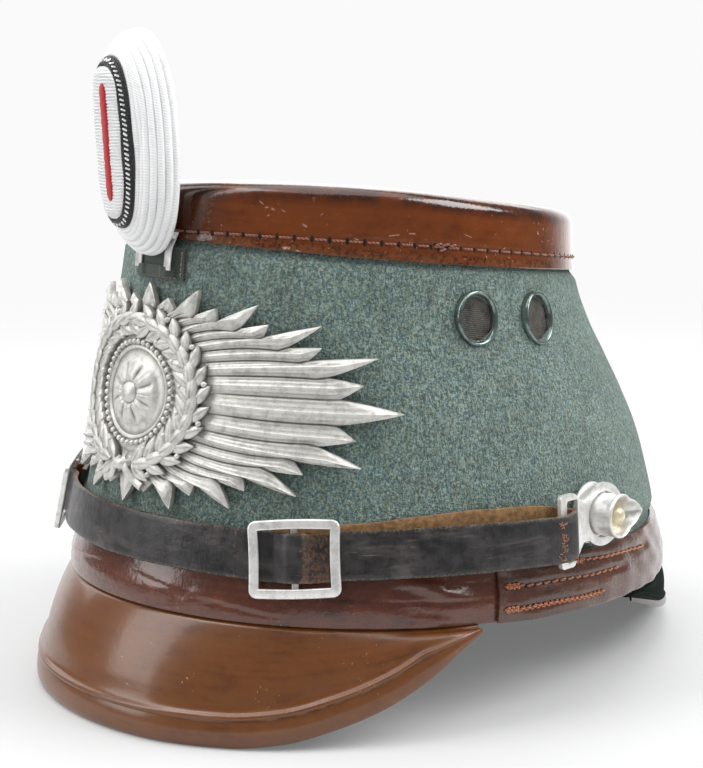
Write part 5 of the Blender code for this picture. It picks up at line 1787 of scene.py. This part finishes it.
def cockade_mount(metal, cloth, thread):
    build = Build()
    rows = [(-86.3, 177.0), (-85.8, 162.0), (-85.4, 149.0), (-85.3, 142.5), (-84.9, 137.5)]
    for high, out in ((106.0, 0.9), (103.4, 2.0), (101.4, 2.75), (98.0, 2.95), (95.2, 2.9)):
        p = crown(4.4, high, out)
        rows.append((float(p[1]), float(p[2])))
    line = spline(np.array([(0, y, z) for y, z in rows]), 80)
    section = rounded([(-1.5, 0), (1.5, 0), (1.5, -0.5), (-1.5, -0.5)], 0.2, 3)
    for sign in (1, -1):
        stations = np.array([[(6.9 * sign + x, y + d, z) for x, d in section] for _, y, z in line])
        sweep(build, stations, False)
    section = rounded([(-8.3, 0.0), (8.3, 0.0), (8.3, -0.5), (-8.3, -0.5)], 0.2, 3)
    stations = np.array([[(x, y + d + 0.02, z) for x, d in section] for _, y, z in line[:9]])
    sweep(build, stations, False)
    prong = build.make("prong", metal)
    settle(prong, "cast_aluminium", "cockade_prong")
    build = Build()
    angles = np.linspace(-9.5, 9.5, 60)
    low = np.interp(np.abs(angles), (5.6, 8.2), (1.5, 0.35))
    stations = []
    for a, b in zip(angles, low):
        wave = 0.08 * math.sin(a * 1.7)
        section = [(92.4, 0.35), (92.2, 0.8), (92.4, 1.2), (93.6, b + 0.85), (96.0, b + 0.95 + wave), (99.2, b + 0.95 - wave),
                   (101.0, b + 0.95), (101.5, b + 0.8), (101.6, b + 0.2), (101.4, b), (97.5, b), (93.6, b)]
        stations.append([crown(a, h, o) for h, o in section])
    sweep(build, np.array(stations), False)
    angles = np.linspace(-7.2, 7.2, 40)
    bulge = np.interp(np.abs(angles), (2.6, 3.4, 5.4, 6.4, 7.2), (2.5, 3.1, 3.1, 2.4, 1.9))
    stations = []
    for a, b in zip(angles, bulge):
        section = [(93.3, b - 0.25), (93.1, b + 0.05), (93.3, b + 0.4), (94.6, b + 0.5), (96.0, b + 0.45), (96.3, b + 0.2), (96.1, b - 0.1), (94.6, b - 0.1)]
        stations.append([crown(a, h, o) for h, o in section])
    sweep(build, np.array(stations), False)
    pocket = build.make("pocket_cloth", cloth)
    settle(pocket, "green_cloth", "cockade_pocket")
    build = Build()
    for sign in (1, -1):
        h = np.linspace(93.2, 101.2, 24)
        spots = np.stack([np.full(24, 8.8 * sign), h, np.full(24, 1.34)], -1)
        stitches(build, None, spots, 1.5, 0.7, 0.20, 0.8, 0.15, 80)
    a = np.linspace(-8.6, 8.6, 40)
    spots = np.stack([a, np.full(40, 92.9), np.interp(np.abs(a), (5.6, 8.2), (1.5, 1.3))], -1)
    stitches(build, None, spots, 1.6, 0.7, 0.20, 0.8, 0.15, 81)
    seam = build.make("pocket_thread", thread)
    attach(seam, "root")


# ---------------------------------------------------------------- make it all
# centre along, centre up, length, slant in degrees, width, share
LID_SCRATCHES = (
    (31.2, 11.4, 1.5, -34, 0.20, 0.45),
    (32.6, 10.4, 1.1, 12, 0.26, 0.5),
    (34.2, 10.1, 1.2, -16, 0.32, 0.5),
    (37.0, 9.8, 1.3, -22, 0.22, 0.4),
    (33.0, 8.6, 1.0, 20, 0.22, 0.4),
    (66.0, 6.3, 3.2, 8, 0.16, 0.5),
    (71.0, 6.9, 2.2, 2, 0.18, 0.45),
    (42.6, 6.9, 1.5, -24, 0.30, 0.55),
    (47.0, 9.6, 1.2, 35, 0.16, 0.45),
    (56.0, 4.9, 1.6, -8, 0.20, 0.5),
    (88.0, 7.4, 2.6, -12, 0.15, 0.4),
    (101.0, 5.2, 1.8, 24, 0.18, 0.4),
    (38.0, 1.7, 2.2, 4, 0.42, 0.75),
    (41.0, 1.3, 1.6, -6, 0.34, 0.6),
)


def lid_edge_look(m, colour, u, v, w):
    """Painted shade near the front, dark rim and foot, worn tan line along the cut edge, pale scratches."""
    cloud = m.noise(0.10, 4.0, 0.6)
    # painted shade: a dark patch on the lid near the front stands for the cockade's shadow and a dark reflection
    painted_cockade_shade = m.times(m.span(u, 25.0, 9.0), m.span(cloud, 0.25, 0.55, 0.55, 1.0))
    colour = m.mix(m.times(painted_cockade_shade, 0.75), colour, srgb(40, 20, 10))
    rim = m.times(m.span(v, 10.6, 13.6), m.span(cloud, 0.30, 0.62, 0.35, 0.9))
    colour = m.mix(rim, colour, srgb(42, 18, 9))
    chips = m.noise(0.85, 3.0, 0.66)
    foot = m.times(m.span(v, 3.7, 2.5), m.span(chips, 0.46, 0.60, 0.12, 1.0))
    colour = m.mix(m.times(foot, 0.85), colour, srgb(26, 12, 8))
    pale = m.noise(0.75, 4.0, 0.72, m.vector("ADD", m.at, (11.0, 17.0, 25.0)))
    colour = m.mix(m.times(m.span(v, 6.5, 3.0, 0.15, 0.65), m.span(pale, 0.655, 0.69)), colour, srgb(196, 160, 132))
    spots = m.noise(0.6, 4.0, 0.7, m.vector("ADD", m.at, (31.0, 7.0, 5.0)))
    colour = m.mix(m.span(spots, 0.70, 0.75, 0.0, 0.7), colour, srgb(40, 18, 10))
    rubbed = m.times(m.span(v, 3.4, 2.0), m.span(cloud, 0.30, 0.66, 0.02, 0.22))
    colour = m.mix(rubbed, colour, srgb(148, 96, 62))
    near = m.span(v, 0.2, 1.5, 1.0, 0.0)
    broken = m.span(m.noise(0.9, 3.0, 0.65), 0.40, 0.60)
    colour = m.mix(m.times(near, broken), colour, srgb(150, 112, 78))
    rough_edge = m.noise(2.6, 3.0, 0.7)
    total = None
    for u0, v0, length, slant, width, share in LID_SCRATCHES:
        c, d = math.cos(math.radians(slant)), math.sin(math.radians(slant))
        du, dv = m.math("SUBTRACT", u, u0), m.math("SUBTRACT", v, v0)
        a = m.math("ABSOLUTE", m.add(m.times(du, c), m.times(dv, d)))
        b = m.math("ABSOLUTE", m.add(m.times(du, -d), m.times(dv, c)))
        one = m.times(m.span(a, length / 2 - 0.6, length / 2 + 0.2, share, 0.0), m.span(b, width * 0.3, width, 1.0, 0.0))
        total = one if total is None else m.math("MAXIMUM", total, one)
    total = m.times(total, m.span(rough_edge, 0.36, 0.56))
    return m.mix(total, colour, srgb(205, 182, 162))


felt = felt_look()
lid_leather = gloss_leather("lid leather", srgb(78, 35, 10), srgb(101, 48, 14), srgb(116, 60, 20), 0.18, 0.50, 0.7, 0.0, 0.8, lid_edge_look).material
peak_leather = gloss_leather("peak leather", srgb(80, 41, 12), srgb(99, 55, 17), srgb(113, 68, 24), 0.34, 0.60, 0.35, 0.10, 0.3).material
front_leather = gloss_leather("front band leather", srgb(48, 23, 16), srgb(84, 44, 30), srgb(108, 63, 44), 0.24, 0.65, 1.1, 0.25, 0.35).material
rear_leather = gloss_leather("rear band leather", srgb(38, 22, 17), srgb(76, 47, 36), srgb(108, 72, 56), 0.24, 0.6, 1.1, 0.2, 0.35).material
neck_leather = gloss_leather("neck peak leather", srgb(13, 17, 16), srgb(24, 31, 29), srgb(38, 47, 44), 0.26, 0.45, 1.0, 0.5, 0.2).material
peak_under = gloss_leather("peak underside", srgb(14, 20, 19), srgb(24, 33, 30), srgb(38, 48, 44), 0.38, 0.15, 1.0, 0.3, 0.2).material
aluminium = metal_look("aluminium", srgb(240, 239, 236), srgb(128, 123, 114), 0.34, 0.8, 0.66, 0.32)
badge_metal = metal_look("badge aluminium", srgb(212, 211, 206), srgb(84, 78, 68), 0.44, 1.0, 0.56, 0.36)
stud_metal = metal_look("stud metal", srgb(226, 216, 186), srgb(150, 132, 92), 0.36, 0.5, 0.45, 0.5)
grommet_metal = metal_look("grommet metal", srgb(132, 146, 142), srgb(52, 62, 60), 0.22, 0.30, 0.85, 0.6)
gauze_metal = metal_look("gauze wire", srgb(132, 128, 121), srgb(58, 55, 52), 0.45, 0.3, 0.7, 0.6)
lid_thread = thread_look("lid thread", srgb(142, 82, 56), srgb(76, 36, 22))
orange_thread = thread_look("orange thread", srgb(172, 100, 58), srgb(92, 48, 28))
copper_thread = thread_look("copper thread", srgb(156, 102, 70), srgb(88, 52, 34))
tan_thread = thread_look("tan thread", srgb(150, 132, 98), srgb(84, 70, 48))
for dull in (neck_leather, peak_under):
    dull.node_tree.nodes["Principled BSDF"].inputs["Specular IOR Level"].default_value = 0.0
    dull.node_tree.nodes["Principled BSDF"].inputs["Coat Weight"].default_value = 0.03
# painted reflection: the neck peak's rim is a lighter brown-grey, standing for the sheen of the bright wall on it
neck_rim_sheen = gloss_leather("neck peak rim sheen", srgb(38, 30, 26), srgb(62, 52, 46), srgb(82, 70, 62), 0.28, 0.40, 1.0, 0.2, 0.3).material
peak_leather.node_tree.nodes["Principled BSDF"].inputs["Coat Roughness"].default_value = 0.16
for soft in (front_leather, rear_leather):
    soft.node_tree.nodes["Principled BSDF"].inputs["Coat Roughness"].default_value = 0.13
hole_look = Look("awl hole", Roughness=0.9).colour(srgb(16, 9, 7)).material
bullion = bullion_look("silver bullion", srgb(196, 197, 199), srgb(249, 249, 249))
# painted shade: the centre's bullion is a darker copy of the silver bullion, toning down the lamps it faces
centre_bullion_shaded = bullion_look("centre bullion shaded", srgb(170, 171, 173), srgb(229, 229, 229))
strap_leather = strap_look()
green_cloth = plain_cloth("green cloth", srgb(62, 74, 66), srgb(30, 38, 34))
back_cloth = plain_cloth("back cloth", srgb(70, 72, 72), srgb(40, 42, 42))
red_cloth = plain_cloth("red cloth", srgb(205, 38, 44), srgb(150, 20, 28), 0.35)
black_cord = thread_look("black cord", srgb(30, 30, 34), srgb(8, 8, 10), 0.9, 0.6)
silver_cord = metal_look("silver cord", srgb(238, 238, 238), srgb(160, 160, 160), 0.35, 0.3, 0.5, 0.3)

settle(felt_crown(felt), "felt", "felt_body")
settle(lid_cover(lid_leather), "lid_leather", "crown_lid")
piece = lid_stitching(lid_thread, hole_look)
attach(piece, "root")
settle(front_band(front_leather), "band_leather", "front_band")
settle(rear_band(rear_leather), "rear_leather", "rear_band")
piece = rear_stitching(orange_thread, hole_look)
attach(piece, "root")
settle(peak("front_peak_leather", FRONT_PEAK, 0.0, 1.7, 9.4, 3.7, 0.7, [peak_leather, peak_under]), "peak_leather", "front_peak")
# from point 70 of the section on, the neck peak's rim takes the painted reflection look
settle(peak("neck_peak_leather", NECK_PEAK, 180.0, 1.7, 3.4, 3.7, 0.9, [neck_leather, peak_under, neck_rim_sheen], 70), "peak_leather", "neck_peak")
settle(chin_strap(strap_leather), "strap_leather", "chin_strap")
piece = strap_stitching(copper_thread)
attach(piece, "root")
for side, word in ((1, "left"), (-1, "right")):
    settle(slide_buckle(side, aluminium), "cast_aluminium", f"slide_buckle_{word}")
    settle(side_post(side, [aluminium, stud_metal]), "cast_aluminium", f"side_post_{word}")
    settle(strap_end(side, aluminium), "cast_aluminium", f"strap_end_{word}")
vents(grommet_metal, gauze_metal)
settle(badge(badge_metal), "cast_aluminium", "front_badge")
settle(cockade_body([bullion, back_cloth]), "silver_thread", "cockade_body")
settle(cockade_ring([black_cord, silver_cord]), "black_cord", "cockade_ring")
settle(cockade_centre(centre_bullion_shaded), "silver_thread", "cockade_centre")
settle(cockade_bar(red_cloth), "red_thread", "cockade_bar")
cockade_mount(aluminium, green_cloth, tan_thread)


# ------------------------------------------------------------ floor and light
def floor_disc():
    mesh = bpy.data.meshes.new("floor")
    turn = np.linspace(0, 2 * np.pi, 96, endpoint=False)
    points = [(6 * math.cos(t), 6 * math.sin(t), 0.0) for t in turn]
    mesh.from_pydata(points, [], [tuple(range(96))])
    m = Look("floor", Roughness=0.75, Emission_Color=(1, 1, 1, 1), Emission_Strength=0.15)
    m.shader.inputs["Specular IOR Level"].default_value = 0.1
    tint = m.noise(0.002, 2.0, 0.5)
    m.colour(m.mix(m.span(tint, 0.3, 0.7), (0.432, 0.433, 0.435, 1), (0.446, 0.446, 0.446, 1)))
    x, y, z = m.split(m.at)
    away = m.vector("LENGTH", m.join(x, y, 0.0))
    clear = m.tree.nodes.new("ShaderNodeBsdfTransparent")
    blend = m.tree.nodes.new("ShaderNodeMixShader")
    m.put(m.span(away, 260.0, 900.0), blend.inputs[0])
    m.tree.links.new(m.shader.outputs[0], blend.inputs[1])
    m.tree.links.new(clear.outputs[0], blend.inputs[2])
    m.tree.links.new(blend.outputs[0], m.tree.nodes["Material Output"].inputs["Surface"])
    mesh.materials.append(m.material)
    thing = bpy.data.objects.new("floor", mesh)
    bpy.context.scene.collection.objects.link(thing)


def softbox(name, azimuth, elevation, distance, wide, high, power, target=(0, 0, 0.07), colour=(1, 1, 1)):
    a, e = math.radians(azimuth), math.radians(elevation)
    at = Vector((math.sin(a) * math.cos(e), -math.cos(a) * math.cos(e), math.sin(e))) * distance + Vector(target)
    data = bpy.data.lights.new(name, "AREA")
    data.shape, data.size, data.size_y, data.energy, data.color = "RECTANGLE", wide, high, power, colour
    lamp = bpy.data.objects.new(name, data)
    lamp.location = at
    lamp.rotation_mode = "QUATERNION"
    lamp.rotation_quaternion = (Vector(target) - at).to_track_quat("-Z", "Y")
    bpy.context.scene.collection.objects.link(lamp)


floor_disc()
softbox("key", -26, 38, 1.6, 0.75, 2.0, 17)
softbox("left", -78, 34, 1.6, 0.5, 1.4, 4.5)
softbox("top", 0, 88, 1.6, 1.8, 1.8, 20)
softbox("right", 130, 40, 1.6, 0.9, 0.9, 21)
softbox("back", 215, 38, 1.6, 1.2, 0.8, 6)

world = bpy.data.worlds.new("studio")
world.use_nodes = True
tree = world.node_tree
tree.nodes.clear()
output = tree.nodes.new("ShaderNodeOutputWorld")
seen = tree.nodes.new("ShaderNodeBackground")
seen.inputs["Color"].default_value = (1, 1, 1, 1)
seen.inputs["Strength"].default_value = 0.955
fill = tree.nodes.new("ShaderNodeBackground")
fill.inputs["Color"].default_value = (0.985, 0.99, 1.0, 1)
fill.inputs["Strength"].default_value = 0.70
# what a gloss reflects: a white wall behind the hat, a dim room on the other sides
gloss = tree.nodes.new("ShaderNodeBackground")
gloss.inputs["Color"].default_value = (0.985, 0.99, 1.0, 1)
coords = tree.nodes.new("ShaderNodeTexCoord")
facing = tree.nodes.new("ShaderNodeVectorMath")
facing.operation = "DOT_PRODUCT"
tree.links.new(coords.outputs["Generated"], facing.inputs[0])
facing.inputs[1].default_value = (0.72, -0.67, 0.18)
shade = tree.nodes.new("ShaderNodeMapRange")
shade.interpolation_type = "SMOOTHSTEP"
tree.links.new(facing.outputs["Value"], shade.inputs["Value"])
for key, number in (("From Min", -0.99), ("From Max", -0.50), ("To Min", 1.7), ("To Max", 0.15)):
    shade.inputs[key].default_value = number
tree.links.new(shade.outputs[0], gloss.inputs["Strength"])
path_node = tree.nodes.new("ShaderNodeLightPath")
by_gloss = tree.nodes.new("ShaderNodeMixShader")
tree.links.new(path_node.outputs["Is Glossy Ray"], by_gloss.inputs[0])
tree.links.new(fill.outputs[0], by_gloss.inputs[1])
tree.links.new(gloss.outputs[0], by_gloss.inputs[2])
mixer = tree.nodes.new("ShaderNodeMixShader")
tree.links.new(path_node.outputs["Is Camera Ray"], mixer.inputs[0])
tree.links.new(by_gloss.outputs[0], mixer.inputs[1])
tree.links.new(seen.outputs[0], mixer.inputs[2])
tree.links.new(mixer.outputs[0], output.inputs[0])
bpy.context.scene.world = world
bpy.context.scene.view_settings.view_transform = "Standard"
